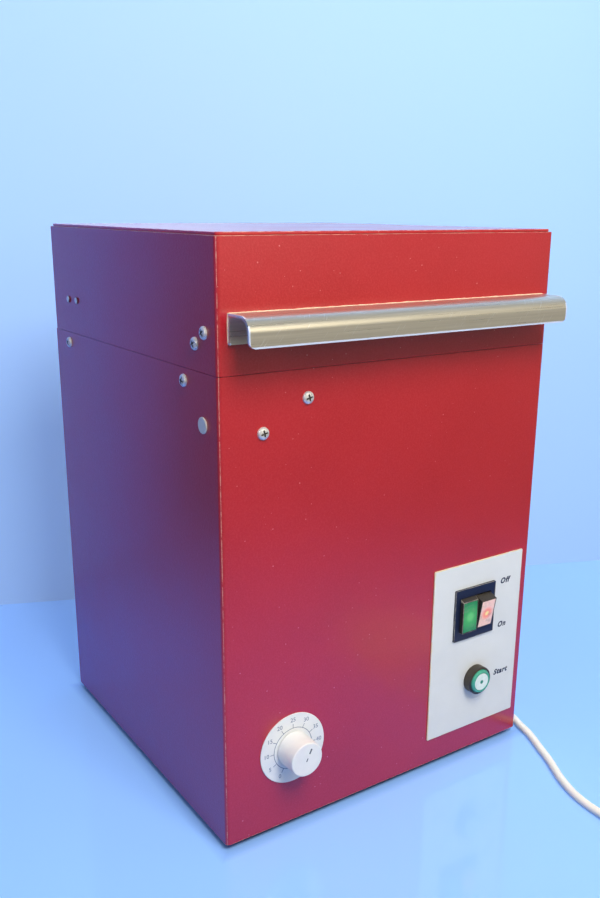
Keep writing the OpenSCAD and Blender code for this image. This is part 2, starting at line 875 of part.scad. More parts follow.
// switch frame with its body: the lamp on the left, a bay for the rocker on the right
module switch_housing() color("#17181d") placed() {
    difference() {
        union() {
            upright(bezel_y, -plate_t)
                round_rect(switch_x - bezel_w / 2, switch_x + bezel_w / 2,
                           switch_z - bezel_h / 2, switch_z + bezel_h / 2, bezel_r);
            block([switch_x - switch_w / 2, bezel_y + bezel_t / 2, switch_z - switch_h / 2],
                  [switch_x + switch_w / 2, switch_deep, switch_z + switch_h / 2]);
            for (x = terminal_x)
                block([switch_x + x - terminal[0], switch_deep - cut, switch_z - terminal[2]],
                      [switch_x + x + terminal[0], switch_deep + terminal[1], switch_z + terminal[2]]);
        }
        bay(pilot_x, -plate_t);
        bay(rocker_x, bay_deep);
        bar_x(rocker_x - bay_w / 2 - rocker_pin_l, rocker_x + bay_w / 2 + rocker_pin_l,
              rocker_pivot_y, switch_z, rocker_pin_r + pin_play);
    }
    difference() {
        pilot_block();
        pilot_pocket(pilot_lens_t);
    }
}

// green lamp lens in the lamp block
module pilot_lens() color("#1f8f5a") placed() intersection() {
    pilot_block();
    pilot_pocket(pilot_lens_t);
}

// section of the rocker in Y and Z about its pivot
module rocker_section() {
    back = 5;
    shoulder = 3;
    polygon([[-rocker_face, rocker_half], [-rocker_face, -rocker_half],
             [-shoulder / 2, -rocker_belly], [shoulder, -2 * back], [back, -back],
             [back, back], [shoulder, 2 * back], [-shoulder / 2, rocker_belly]]);
}

// pocket for the lens in the rocker's front face
module rocker_pocket() {
    translate([-rocker_face - cut, -rocker_half + rocker_rim])
        square([cut + rocker_lens_t, 2 * rocker_half - 2 * rocker_rim]);
}

// puts the rocker on its pivot, pressed in at the bottom
module on_rocker_pivot() {
    translate([rocker_x, rocker_pivot_y, switch_z]) rotate([rocker_tilt, 0, 0]) children();
}

// dark rocker with pivot pins, a pocket in its face for the lens
module rocker() color("#1b1b20") placed() on_rocker_pivot() {
    difference() {
        sideways(-rocker_w / 2, rocker_w / 2) rocker_section();
        sideways(-rocker_w / 2 + rocker_rim, rocker_w / 2 - rocker_rim) rocker_pocket();
    }
    for (side = [0, 1])
        mirror([side, 0, 0])
            bar_x(rocker_w / 2 - cut, rocker_w / 2 + rocker_pin_l, 0, 0, rocker_pin_r);
}

// pale red lens let into the rocker
module rocker_lens() color("#e27a7a") placed() on_rocker_pivot()
    sideways(-rocker_w / 2 + rocker_rim, rocker_w / 2 - rocker_rim) intersection() {
        rocker_section();
        rocker_pocket();
    }

// ring of the start button with its threaded tube
module button_bezel() color("#1b1c20") placed() translate([button_x, 0, button_z]) difference() {
    union() {
        bar_y(0, -button_out + button_edge, -plate_t, 0, button_d / 2);
        translate([0, -button_out + button_edge, 0]) rotate([90, 0, 0])
            cylinder(h = button_edge, r1 = button_d / 2, r2 = button_d / 2 - button_edge);
        bar_y(0, -plate_t - cut, tube_end, 0, tube_r);
    }
    bar_y(0, -button_out - cut, -plate_t - button_floor, 0, button_bore);
    bar_y(0, -button_out - cut, tube_end + cut, 0, tube_bore);
}

// hexagon nut behind the front
module button_nut() color("#b5b8bb") placed()
    translate([button_x, sheet_t + button_nut_h, button_z]) rotate([90, 0, 0]) difference() {
        cylinder(h = button_nut_h, r = button_nut_r, $fn = 6);
        bar_z(0, 0, -cut, button_nut_h + cut, tube_r + screw_play);
    }

// green push cap with a bevelled edge, on its stem
module button_cap() color("#2f9a5f") placed() translate([button_x, 0, button_z]) difference() {
    union() {
        bar_y(0, -button_out, -button_out + button_cap_in, 0, button_cap_r);
        translate([0, -button_out, 0]) rotate([90, 0, 0])
            cylinder(h = button_cap_out, r1 = button_cap_r, r2 = button_cap_r - cut);
        bar_y(0, -button_out + button_cap_in - cut, stem_end, 0, stem_r);
    }
    bar_y(0, -button_out - button_cap_out - cut, -button_out - button_cap_out + button_disc_t, 0,
          button_disc_r + screw_play);
}

// white disc let into the cap
module button_disc() color("#f4f5f5") placed() translate([button_x, 0, button_z])
    bar_y(0, -button_out - button_cap_out, -button_out - button_cap_out + button_disc_t, 0,
          button_disc_r);

// relay in its socket on the bottom plate
module relay() color("#2d3136") placed() translate([relay_x, relay_y, floor_z]) {
    block([0, 0, 0], [relay_w, relay_d, relay_socket_h]);
    block([relay_inset, relay_inset, relay_socket_h],
          [relay_w - relay_inset, relay_d - relay_inset, relay_h]);
}

// terminal strip near the cord entry
module terminal_block() color("#e3dfd0") placed() difference() {
    block([gland_x - strip_w / 2, strip_y - strip_d / 2, floor_z],
          [gland_x + strip_w / 2, strip_y + strip_d / 2, strip_top]);
    for (i = [0 : 3])
        bar_z(gland_x + (i - 1.5) * strip_pitch, strip_y, strip_top - strip_hole_h,
              strip_top + cut, strip_hole_r);
}

// single wires between cord entry, strip, switch, relay, thermostat and heaters
module wiring_harness() color("#b04a3a") placed() {
    left_x = block_cx - housing_x - housing_t - wire_room;
    entry_y = body_d - sheet_t - gland_thread_l;
    coil_x0 = relay_x + relay_w / 3;
    feed_x = relay_x + relay_w * 2 / 3;
    switch_end = switch_deep + terminal[1];
    thermo_x = dial_x + thermo_half / 2;
    wire([[gland_x, entry_y, gland_z], [gland_x, entry_y - 2 * wire_up, gland_z],
          [gland_x, entry_y - 2 * wire_up, strip_top + wire_up],
          [gland_x, wire_y, strip_top + wire_up], [gland_x, wire_y, strip_top]], wire_r);
    wire([[switch_x + terminal_x[3], wire_y, strip_top], [switch_x + terminal_x[3], wire_y, switch_z],
          [switch_x + terminal_x[3], switch_end, switch_z]], wire_r);
    wire([[switch_x + terminal_x[0], switch_end, switch_z],
          [switch_x + terminal_x[0], wire_front_y, switch_z], [thermo_x, wire_front_y, switch_z],
          [thermo_x, wire_front_y, dial_z], [thermo_x, sheet_t + thermo_d, dial_z]], wire_r);
    wire([[gland_x - strip_pitch, wire_y, strip_top], [gland_x - strip_pitch, wire_y, wire_high_z],
          [feed_x, wire_y, wire_high_z], [feed_x, relay_y + relay_d / 2, wire_high_z],
          [feed_x, relay_y + relay_d / 2, relay_top]], wire_r);
    for (y = [-heater_y, heater_y]) {
        coil_y0 = relay_y + relay_d / 3 + y / 5;
        wire([[block_cx - block_w / 2 - heater_out, block_cy + y, heater_z],
              [left_x, block_cy + y, heater_z], [left_x, block_cy + y, wire_low_z],
              [coil_x0, block_cy + y, wire_low_z], [coil_x0, coil_y0, wire_low_z],
              [coil_x0, coil_y0, relay_top]], wire_r);
    }
}

// angle bracket of the latch behind the front face
module latch_bracket() color("#b9bcbf") placed() difference() {
    union() {
        block([bracket_x0, sheet_t, latch_z - bracket_down],
              [bracket_x1, sheet_t + bracket_t, latch_z + bracket_up]);
        block([bracket_x0, sheet_t, latch_z - bracket_down],
              [bracket_x1, bracket_d, latch_z - bracket_down + bracket_t]);
    }
    at_latch_screws() screw_hole();
}

// solenoid of the latch on the bracket, bored for the bolt
module latch_solenoid() color("#3b4046") placed() difference() {
    block([solenoid_x0, solenoid_y0, latch_z - solenoid_half],
          [solenoid_x1, bracket_d - bracket_t, latch_z + solenoid_half]);
    bar_x(solenoid_x0 - cut, bolt_bore_end, latch_y, latch_z, bolt_r + pin_play);
}

// latch bolt with its collar, drawn back so that the lid is free
module latch_bolt() color("#c7cacd") placed() {
    bar_x(bolt_x0, bolt_x1, latch_y, latch_z, bolt_r);
    bar_x(collar_x, collar_x + collar_t, latch_y, latch_z, collar_r);
}

// pale plug in the side's release hole
module hole_plug() color("#c5c8cb") placed() {
    bar_x(-plug_t, 0, latch_y, latch_z, plug_r);
    bar_x(-plug_t / 2, sheet_t, latch_y, latch_z, plug_hole_r - screw_play);
}

// one hinge leaf, drawn upwards from the pin: first is its first knuckle's number
module hinge_leaf(first) {
    difference() {
        union() {
            block([knuckle_gap / 2, -hinge_off, 0],
                  [hinge_w - knuckle_gap / 2, leaf_t - hinge_off, leaf_h]);
            for (i = [first : 2 : knuckles - 1])
                bar_x(i * knuckle_w + knuckle_gap / 2, (i + 1) * knuckle_w - knuckle_gap / 2,
                      0, 0, hinge_r);
        }
        for (i = [1 - first : 2 : knuckles - 1])
            block([i * knuckle_w - knuckle_gap / 2, -hinge_off - cut, -hinge_r - cut],
                  [(i + 1) * knuckle_w + knuckle_gap / 2, hinge_r + cut, hinge_r + knuckle_room]);
        bar_x(-cut, hinge_w + cut, 0, 0, pin_r + pin_play);
        for (x = leaf_screw_x)
            bar_y(x, -hinge_off - cut, 0, leaf_screw_off, leaf_screw_r + screw_play);
    }
}

module hinge_body_leaf() color("#b5b8bb") placed()
    translate([hinge_x, hinge_y, hinge_z]) mirror([0, 0, 1]) hinge_leaf(0);

module hinge_lid_leaf() color("#b5b8bb") placed()
    translate([hinge_x, hinge_y, hinge_z]) hinge_leaf(1);

module hinge_pin() color("#c9ccd0") placed()
    bar_x(hinge_x, hinge_x + hinge_w, hinge_y, hinge_z, pin_r);

// small screws of a hinge leaf
module leaf_screws() {
    bar_y(0, -leaf_screw_l, leaf_t, 0, leaf_screw_r);
    bar_y(0, leaf_t, leaf_t + leaf_head_h, 0, leaf_head_r);
}

module hinge_body_screws() color("#c9ccd0") placed()
    at_leaf_screws(hinge_z - leaf_screw_off) leaf_screws();

module hinge_lid_screws() color("#c9ccd0") placed()
    at_leaf_screws(hinge_z + leaf_screw_off) leaf_screws();

// painted lid walls with a turned-in top edge
module lid_wrap() color("#a32236") placed() difference() {
    union() {
        translate([0, 0, lid_z0]) linear_extrude(lid_z1 - lid_z0) difference() {
            plan(body_w, body_d, bend_r, bend_r);
            translate([sheet_t, sheet_t])
                plan(body_w - 2 * sheet_t, body_d - 2 * sheet_t, bend_r - sheet_t, bend_r - sheet_t);
        }
        translate([0, 0, lid_z1 - sheet_t]) linear_extrude(sheet_t) difference() {
            plan(body_w, body_d, bend_r, bend_r);
            translate([sheet_t + flange, sheet_t + flange])
                square([body_w - 2 * sheet_t - 2 * flange, body_d - 2 * sheet_t - 2 * flange]);
        }
    }
    at_pull_screws() bar_y(0, -cut, sheet_t + cut, 0, screw_r + screw_play);
    for (p = hook_screws)
        bar_x(-cut, sheet_t + cut, p[0], p[1], screw_r + screw_play);
    for (p = stay_rivet_at)
        bar_x(-cut, sheet_t + cut, hinge_y - p[0], hinge_z + p[1], rivet_r + screw_play);
    at_leaf_screws(hinge_z + leaf_screw_off)
        bar_y(0, -sheet_t - cut, cut, 0, leaf_screw_r + screw_play);
}

// separate cover plate on the lid
module lid_top() color("#a32236") placed() translate([0, 0, lid_z1])
    linear_extrude(lid_top_t)
        round_rect(lid_top_inset, body_w - lid_top_inset, lid_top_inset, body_d - lid_top_inset,
                   lid_top_r);

// notches of the liner's edge and the insulation for hook and stay
module lid_pockets() {
    block([0, latch_y - hook_pad_front - cut, body_h - cut],
          [hook_x0 + hook_t + 2.5, latch_y + hook_pad_back + cut, hook_z0 + hook_pad_h + 2]);
    block([0, hinge_y - stay_pad_x[1] - 3, body_h - cut],
          [stay_x0 + stay_t + 4, hinge_y - stay_pad_x[0] + 4, hinge_z + stay_pad_z[1] + 3]);
}

// inner tray of the lid: room above the tubes
module lid_liner() color("#e4e5e6") placed() difference() {
    union() {
        block([liner_in, liner_in, liner_flange_z],
              [body_w - liner_in, body_d - liner_in, liner_top + liner_t]);
        block([sheet_t + fit_play, sheet_t + bend_room, liner_flange_z],
              [body_w - sheet_t - fit_play, body_d - sheet_t - bend_room, liner_flange_z + liner_t]);
    }
    block([liner_in + liner_t, liner_in + liner_t, liner_flange_z - cut],
          [body_w - liner_in - liner_t, body_d - liner_in - liner_t, liner_top]);
    lid_pockets();
}

// insulation between lid walls and liner
module lid_insulation() color("#efe6c8") placed() difference() {
    translate([sheet_t, sheet_t, liner_flange_z + liner_t])
        linear_extrude(lid_z1 - sheet_t - liner_flange_z - liner_t)
            plan(body_w - 2 * sheet_t, body_d - 2 * sheet_t, bend_r - sheet_t, bend_r - sheet_t);
    block([liner_in, liner_in, body_h],
          [body_w - liner_in, body_d - liner_in, liner_top + liner_t]);
    lid_pockets();
    at_pull_screws() bar_y(0, 0, sheet_t + screw_l, 0, screw_head_r + cut);
    at_leaf_screws(hinge_z + leaf_screw_off) bar_y(0, -leaf_screw_l - cut, cut, 0, leaf_screw_r + cut);
}

// soft seal between liner edge and deck
module lid_gasket() color("#4a4c50") placed()
    translate([0, 0, deck_z]) linear_extrude(liner_flange_z - deck_z) difference() {
        round_rect(gasket_in, body_w - gasket_in, gasket_in, body_d - gasket_in, gasket_r);
        round_rect(gasket_in + gasket_w, body_w - gasket_in - gasket_w,
                   gasket_in + gasket_w, body_d - gasket_in - gasket_w, gasket_r - gasket_w + cut);
    }

// section of the pull: back on the lid, top, and the bend into the front wall
module pull_section() {
    square([pull_wall, pull_h]);
    translate([0, pull_h - pull_wall]) square([pull_out - pull_r, pull_wall]);
    intersection() {
        translate([pull_out - pull_r, pull_h - pull_r]) difference() {
            circle(pull_r);
            circle(pull_r - pull_wall);
        }
        translate([pull_out - pull_r, pull_h - pull_r]) square(pull_r);
    }
}

// metal pull with open ends; the front wall's lower corners are round
module lid_handle() color("#c9c7c0") placed() difference() {
    union() {
        translate([0, 0, pull_z0]) mirror([0, 1, 0])
            sideways(pull_margin, body_w - pull_margin) pull_section();
        upright(-pull_out, pull_wall - pull_out) difference() {
            round_rect(pull_margin, body_w - pull_margin, pull_z0, pull_z1 + pull_h, pull_corner);
            translate([0, pull_z1 - pull_r]) square([body_w, 2 * pull_h]);
        }
    }
    at_pull_screws() bar_y(0, -pull_wall - cut, cut, 0, screw_r + screw_play);
}

// screws of the pull, driven from inside the lid
module handle_screws() color("#c9ccd0") placed() at_pull_screws()
    translate([0, sheet_t, 0]) rotate([90, 0, 0]) pan_screw(sheet_t + pull_wall);

// flat arc that lets the lid swing to its stop, with a stop stud at its lower end
module lid_stay() color("#c4c7ca") placed()
    translate([0, hinge_y, hinge_z]) mirror([0, 1, 0]) difference() {
        union() {
            sideways(stay_x0, stay_x0 + stay_t) {
                intersection() {
                    difference() {
                        circle(stay_r1, $fn = 96);
                        circle(stay_r0, $fn = 96);
                    }
                    polygon([[0, 0], 2 * stay_r1 * [cos(stay_low), sin(stay_low)],
                             2 * stay_r1 * [1, -0.5], 2 * stay_r1 * [1, 0.25],
                             [stay_r1, stay_r1 / 2]]);
                }
                round_rect(stay_pad_x[0], stay_pad_x[1], stay_pad_z[0], stay_pad_z[1], stay_pad_r);
            }
            bar_x(stay_x0 + stay_t - cut, stay_x0 + stay_t + stay_stud_l,
                  stay_mid_r * cos(stay_stop), stay_mid_r * sin(stay_stop), stay_stud_r);
        }
        for (p = stay_rivet_at)
            bar_x(stay_x0 - cut, stay_x0 + stay_t + cut, p[0], p[1], rivet_r + screw_play);
    }

// two shouldered rivets that carry the stay
module stay_rivets() color("#9aa0a6") placed()
    for (p = stay_rivet_at)
        translate([0, hinge_y - p[0], hinge_z + p[1]]) {
            bar_x(-rivet_face_h, 0, 0, 0, rivet_face_r);
            bar_x(-rivet_face_h / 2, stay_x0 + stay_t + rivet_head_h / 2, 0, 0, rivet_r);
            bar_x(sheet_t, stay_x0, 0, 0, rivet_head_r);
            bar_x(stay_x0 + stay_t, stay_x0 + stay_t + rivet_head_h, 0, 0, rivet_head_r);
        }

// catch hook on the lid: a stepped plate with a square eye for the bolt
module catch_hook() color("#c4c7ca") placed() difference() {
    union() {
        block([sheet_t, latch_y - hook_pad_front, hook_z0],
              [hook_x0 - hook_t / 5, latch_y + hook_pad_back, hook_z0 + hook_pad_h]);
        block([sheet_t, latch_y - hook_half, hook_z0],
              [hook_x0 + hook_t, latch_y + hook_half, hook_z0 + hook_step]);
        block([hook_x0, latch_y - hook_half, latch_z - 2 * bolt_r],
              [hook_x0 + hook_t, latch_y + hook_half, hook_z0 + hook_step]);
    }
    block([hook_x0 - cut, latch_y - hook_eye, latch_z - hook_eye],
          [hook_x0 + hook_t + cut, latch_y + hook_eye, latch_z + hook_eye]);
    for (p = hook_screws)
        bar_x(0, hook_x0 + hook_t + cut, p[0], p[1], screw_r + screw_play);
}

// the hook's two screws, from outside the lid
module catch_screws() color("#c9ccd0") placed()
    for (p = hook_screws)
        translate([0, p[0], p[1]]) rotate([0, 90, 0]) pan_screw(screw_l);

// cord gland in the rear panel with a tapered strain relief
module cord_gland() color("#202226") placed()
    translate([gland_x, body_d, gland_z]) rotate([-90, 0, 0]) difference() {
        union() {
            cylinder(h = gland_nose, r = gland_hex_r, $fn = 6);
            translate([0, 0, gland_nose - cut])
                cylinder(h = gland_out - gland_nose + cut, r1 = gland_thread_r, r2 = cord_r + gland_skin);
            bar_z(0, 0, -gland_thread_l, cut, gland_thread_r);
        }
        bar_z(0, 0, -gland_thread_l - cut, gland_out + cut, cord_r + fit_play);
    }

// hexagon nut of the gland behind the rear panel
module gland_nut() color("#202226") placed()
    translate([gland_x, body_d - sheet_t, gland_z]) rotate([90, 0, 0]) difference() {
        cylinder(h = gland_nut_h, r = gland_nut_r, $fn = 6);
        bar_z(0, 0, -cut, gland_nut_h + cut, gland_thread_r + screw_play);
    }

// point on a smooth line through the route, s from 0 to len - 1
function route_at(s) =
    let (n = len(route) - 1, i = min(floor(s), n - 1), u = s - i,
         p0 = route[max(i - 1, 0)], p1 = route[i], p2 = route[i + 1], p3 = route[min(i + 2, n)])
    0.5 * (2 * p1 + (p2 - p0) * u + (2 * p0 - 5 * p1 + 4 * p2 - p3) * u * u
           + (3 * p1 - p0 - 3 * p2 + p3) * u * u * u);

function unit(v) = v / norm(v);

// ring of points around p, square to direction d
function ring(p, d, r, sides) =
    let (side = unit(cross(d, [0, 0, 1])), up = cross(side, d))
    [for (k = [0 : sides - 1])
        p + r * (cos(360 * k / sides) * side + sin(360 * k / sides) * up)];

// one unbroken tube through a list of points
module tube(line, r, sides) {
    n = len(line);
    rings = [for (i = [0 : n - 1])
        ring(line[i], unit(line[min(i + 1, n - 1)] - line[max(i - 1, 0)]), r, sides)];
    walls = [for (i = [0 : n - 2])
        for (k = [0 : sides - 1])
            [i * sides + k, i * sides + (k + 1) % sides,
             (i + 1) * sides + (k + 1) % sides, (i + 1) * sides + k]];
    ends = [[for (k = [0 : sides - 1]) sides - 1 - k],
            [for (k = [0 : sides - 1]) (n - 1) * sides + k]];
    polyhedron(points = [for (one = rings) for (p = one) p],
               faces = concat(walls, ends), convexity = 8);
}

// length of a line of points
function line_length(line) =
    [for (i = [1 : len(line) - 1]) norm(line[i] - line[i - 1])] * [for (i = [1 : len(line) - 1]) 1];

// the line never dips below the floor where it comes down on it
run_line = [for (s = [0 : run_steps * (len(route) - 1)])
    let (p = route_at(s / run_steps)) [p[0], p[1], max(p[2], cord_r)]];

// the coil: spiral in, climb one layer in half a turn, spiral out
coil_turns = 2 * coil_spiral + 0.5;
function coil_radius(t) =
    t < coil_spiral ? coil_r - coil_pitch * t :
    t < coil_spiral + 0.5 ? coil_r - coil_pitch * coil_spiral :
    coil_r - coil_pitch * (coil_turns - t);
function coil_height(t) = coil_z + coil_rise * min(1, max(0, (t - coil_spiral) / 0.5));
function coil_at(t) = [coil_x + coil_radius(t) * cos(180 + 360 * t),
                       coil_y + coil_radius(t) * sin(180 + 360 * t), coil_height(t)];
coil_n = coil_turns * coil_rings;
coil_end = coil_at(coil_turns);
coil_line = concat([coil_at(0) + [0, cord_d, 0]],
                   [for (i = [0 : coil_n]) coil_at(i / coil_rings)],
                   [for (y = [cord_d, coil_tail / 2, coil_tail]) coil_end + [0, y, 0]]);
coil_gap = min([for (i = [0 : coil_n])
    for (j = [i + 16 : coil_n])
        norm(coil_line[i] - coil_line[j])]) - cord_d;
echo(coil_gap = coil_gap, run_length = line_length(run_line), coil_length = line_length(coil_line));

// cord from the gland round the cabinet to the coil
module cord_run() color("#e9eaec") on_floor() tube(run_line, cord_r, run_sides);

// the rest of the cord, wound up beside the front right corner
module cord_coil() color("#e9eaec") on_floor() tube(coil_line, cord_r, coil_sides);

// thin tie around the coil's turns
module cord_tie() color("#d7d9dc") on_floor() {
    inner = coil_r - coil_pitch * coil_spiral - cord_r - cut;
    outer = coil_r + cord_r + tie_gap;
    top = coil_z + coil_rise + cord_r + tie_gap;
    difference() {
        block([coil_x - tie_w / 2, coil_y - outer - tie_t, 0],
              [coil_x + tie_w / 2, coil_y - inner + tie_t, top + tie_t]);
        block([coil_x - tie_w, coil_y - outer, tie_t], [coil_x + tie_w, coil_y - inner, top]);
    }
}

// moulded plug at the end of the coil, pins away from the cord
module mains_plug() color("#e9eaec") on_floor()
    translate([coil_end[0], coil_end[1] + coil_tail, coil_end[2]]) {
        bar_y(0, 0, plug_boot_l, 0, cord_r + 2);
        upright(plug_boot_l - plug_sink, plug_boot_l - plug_sink + plug_l)
            round_rect(-plug_w / 2, plug_w / 2, -plug_h / 2, plug_h / 2, plug_edge);
    }

module plug_pins() color("#c9ccd0") on_floor()
    translate([coil_end[0], coil_end[1] + coil_tail + plug_boot_l - plug_sink + plug_l, coil_end[2]])
        for (p = plug_pin_at)
            bar_y(p[0], 0, pin_l, p[1], plug_pin_r);

cabinet_wrap();
rear_panel();
base_plate();
case_screws();
feet();
top_deck();
block_housing();
block_insulation();
block_supports();
heater_plate();
heating_block();
block_trim();
cartridge_heaters();
sensing_bulb();
overheat_cutout();
thermostat();
thermostat_screws();
dial_plate();
thermostat_shaft();
knob();
control_plate();
switch_housing();
pilot_lens();
rocker();
rocker_lens();
button_bezel();
button_nut();
button_cap();
button_disc();
relay();
terminal_block();
wiring_harness();
latch_bracket();
latch_solenoid();
latch_bolt();
hole_plug();
hinge_body_leaf();
hinge_pin();
hinge_body_screws();
hinge_lid_leaf();
hinge_lid_screws();
lid_wrap();
lid_top();
lid_liner();
lid_insulation();
lid_gasket();
lid_handle();
handle_screws();
lid_stay();
stay_rivets();
catch_hook();
catch_screws();
cord_gland();
gland_nut();
cord_run();
cord_coil();
cord_tie();
mains_plug();
plug_pins();
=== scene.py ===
# Dry block heater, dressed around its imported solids. Metres, Z up, the front faces -Y.
import json
import math

import bmesh
import bpy
from mathutils import Matrix, Vector


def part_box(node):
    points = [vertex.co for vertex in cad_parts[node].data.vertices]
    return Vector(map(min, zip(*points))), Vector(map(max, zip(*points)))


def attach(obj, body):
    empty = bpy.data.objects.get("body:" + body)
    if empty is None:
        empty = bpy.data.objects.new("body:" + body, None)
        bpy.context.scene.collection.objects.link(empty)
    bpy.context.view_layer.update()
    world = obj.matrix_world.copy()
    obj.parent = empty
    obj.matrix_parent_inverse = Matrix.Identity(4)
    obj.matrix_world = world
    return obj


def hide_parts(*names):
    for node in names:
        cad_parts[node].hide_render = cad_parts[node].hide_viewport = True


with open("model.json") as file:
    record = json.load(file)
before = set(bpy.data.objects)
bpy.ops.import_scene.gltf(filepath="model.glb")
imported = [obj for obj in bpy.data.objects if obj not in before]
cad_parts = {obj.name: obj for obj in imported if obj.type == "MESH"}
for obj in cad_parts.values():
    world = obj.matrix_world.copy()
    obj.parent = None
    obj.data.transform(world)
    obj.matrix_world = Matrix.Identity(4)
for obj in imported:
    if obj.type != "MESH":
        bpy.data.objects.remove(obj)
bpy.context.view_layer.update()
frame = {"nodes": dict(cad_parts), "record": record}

nodes = frame["nodes"]
record = frame["record"]
body_of = {n: body for body, members in record["behaviour"]["bodies"].items() for n in members}
slot_of = {part["node"]: part["material_slot"] for part in record["subparts"]}
MM = 0.001


# Cabinet: one steel sheet bent round the front and both sides, and a flat rear panel screwed to its
# turned-in edges. Crimson stoving enamel on pale primer; the pale line along the bends is partly
# primer where they are rubbed and partly a painted highlight on the bends.
def linear(code):
    """Linear RGBA of an sRGB hex colour."""
    channels = [int(code[i : i + 2], 16) / 255 for i in (1, 3, 5)]
    return [c / 12.92 if c < 0.04045 else ((c + 0.055) / 1.055) ** 2.4 for c in channels] + [1]


def add(tree, kind, inputs=None, **settings):
    """Adds one node. settings go on the node, inputs on its sockets as values or links."""
    node = tree.nodes.new(kind)
    for name, value in settings.items():
        setattr(node, name, value)
    sockets = {socket.identifier: socket for socket in node.inputs}
    for name, value in (inputs or {}).items():
        if isinstance(value, bpy.types.NodeSocket):
            tree.links.new(value, sockets[name])
        else:
            sockets[name].default_value = value
    return node


def calc(tree, operation, *values):
    """Result of one Math node on numbers or sockets."""
    inputs = dict(zip(("Value", "Value_001", "Value_002"), values))
    return add(tree, "ShaderNodeMath", inputs, operation=operation).outputs[0]


def mix(tree, share, first, second):
    """Mixes two colours, each a hex code or a socket."""
    first, second = [linear(c) if isinstance(c, str) else c for c in (first, second)]
    inputs = {"Factor_Float": share, "A_Color": first, "B_Color": second}
    return add(tree, "ShaderNodeMix", inputs, data_type="RGBA").outputs[2]


def ramp(tree, value, low, high, to_low=0, to_high=1, **settings):
    """Takes a value from one range to another and holds it within that."""
    inputs = {"Value": value, "From Min": low, "From Max": high, "To Min": to_low, "To Max": to_high}
    return add(tree, "ShaderNodeMapRange", inputs, **settings).outputs[0]


def place_on(tree):
    """A point's place in the piece's own space."""
    return add(tree, "ShaderNodeTexCoord").outputs["Object"]


def noise(tree, size, detail, rough=0.5, place=None):
    """Noise with features of a real size, in the piece's own space or at a given place."""
    place = place_on(tree) if place is None else place
    inputs = {"Vector": place, "Scale": 1 / size, "Detail": detail, "Roughness": rough}
    return add(tree, "ShaderNodeTexNoise", inputs).outputs["Fac"]


def new_finish(name, sockets):
    """A material, its node tree and its shader, with the values that are the same all over."""
    material = bpy.data.materials.new(name)
    material.use_nodes = True
    shader = material.node_tree.nodes["Principled BSDF"]
    for socket, value in sockets.items():
        shader.inputs[socket].default_value = value
    return material, material.node_tree, shader


def room_inside(tree, place, low, high):
    """How far a place lies inside the box between two corners, along X, Y and Z."""
    offset = add(tree, "ShaderNodeVectorMath",
                 {"Vector": place, "Vector_001": (low + high) / 2}, operation="SUBTRACT")
    size = add(tree, "ShaderNodeVectorMath", {"Vector": offset.outputs[0]}, operation="ABSOLUTE")
    room = add(tree, "ShaderNodeVectorMath",
               {"Vector": (high - low) / 2, "Vector_001": size.outputs[0]}, operation="SUBTRACT")
    return add(tree, "ShaderNodeSeparateXYZ", {"Vector": room.outputs[0]}).outputs


def paint_edge_wear_and_highlight(tree, colour, low, high, reach, pale, least=0.1):
    """Mixes a pale colour over another within reach of a box's edges, used for worn edges and for
    painted edge highlights. Noise narrows it, to a least share of reach. Gives the mixed colour and
    where it is pale."""
    x, y, z = room_inside(tree, place_on(tree), low, high)
    # on a face one room is nothing, so the next larger one is the distance from the nearest edge
    wider = calc(tree, "MINIMUM", calc(tree, "MAXIMUM", x, y), z)
    distance = calc(tree, "MAXIMUM", calc(tree, "MINIMUM", x, y), wider)
    limit = ramp(tree, noise(tree, 6 * MM, 6, 0.7), 0.35, 0.7, least * reach, reach)
    edge_wear_and_highlight = calc(tree, "LESS_THAN", distance, limit)
    return mix(tree, edge_wear_and_highlight, colour, pale), edge_wear_and_highlight


# most of a noise lies between these values
NOISE_LOW, NOISE_HIGH = 0.3, 0.7


def vary_gloss(tree, shader, grain, least, most):
    """Roughness that follows a noise between two values."""
    tree.links.new(ramp(tree, grain, NOISE_LOW, NOISE_HIGH, least, most), shader.inputs["Roughness"])


def raise_grain(tree, shader, grain, strength, depth):
    """Bump that follows a noise."""
    bump = add(tree, "ShaderNodeBump", {"Height": grain, "Strength": strength, "Distance": depth})
    tree.links.new(bump.outputs[0], shader.inputs["Normal"])


def enamel(name, low, high):
    """Crimson stoving enamel for a part between two corners: glossy, with orange peel whose crests
    carry a painted highlight, specks, and pale edges that are partly worn and partly a painted
    highlight.
    """
    material, tree, shader = new_finish(
        name, {"IOR": 1.5, "Coat Weight": 0.9, "Coat Roughness": 0.2})
    cloud = noise(tree, 80 * MM, 5, 0.6)
    # orange peel is about 0.7 mm wide; drawn at 1.2 mm so that it shows
    peel = noise(tree, 1.2 * MM, 3, 0.6)
    # the crests of the peel are painted paler, a painted highlight
    lit_crests = ramp(tree, peel, 0.42, 0.72, 0, 0.25)
    colour = mix(tree, lit_crests, mix(tree, cloud, "#a0181d", "#b82127"), "#c8474a")
    # specks of dust in the paint, one in each cell, most of them too small or too deep to show
    cell, largest = 5 * MM, 0.1
    speck = add(tree, "ShaderNodeTexVoronoi", {"Vector": place_on(tree), "Scale": 1 / cell})
    chance = add(tree, "ShaderNodeSeparateColor", {"Color": speck.outputs["Color"]}).outputs[0]
    radius = calc(tree, "MULTIPLY", calc(tree, "POWER", chance, 2), largest)
    dust = calc(tree, "LESS_THAN", speck.outputs["Distance"], radius)
    colour = mix(tree, dust, colour, "#cc7674")
    # a pale line along the bends and edges: partly rubbed paint, partly a painted highlight
    colour = paint_edge_wear_and_highlight(tree, colour, low, high, 0.5 * MM, "#cf8b78")[0]
    tree.links.new(colour, shader.inputs["Base Color"])
    vary_gloss(tree, shader, cloud, 0.28, 0.36)
    raise_grain(tree, shader, peel, 0.8, 0.15 * MM)
    return material


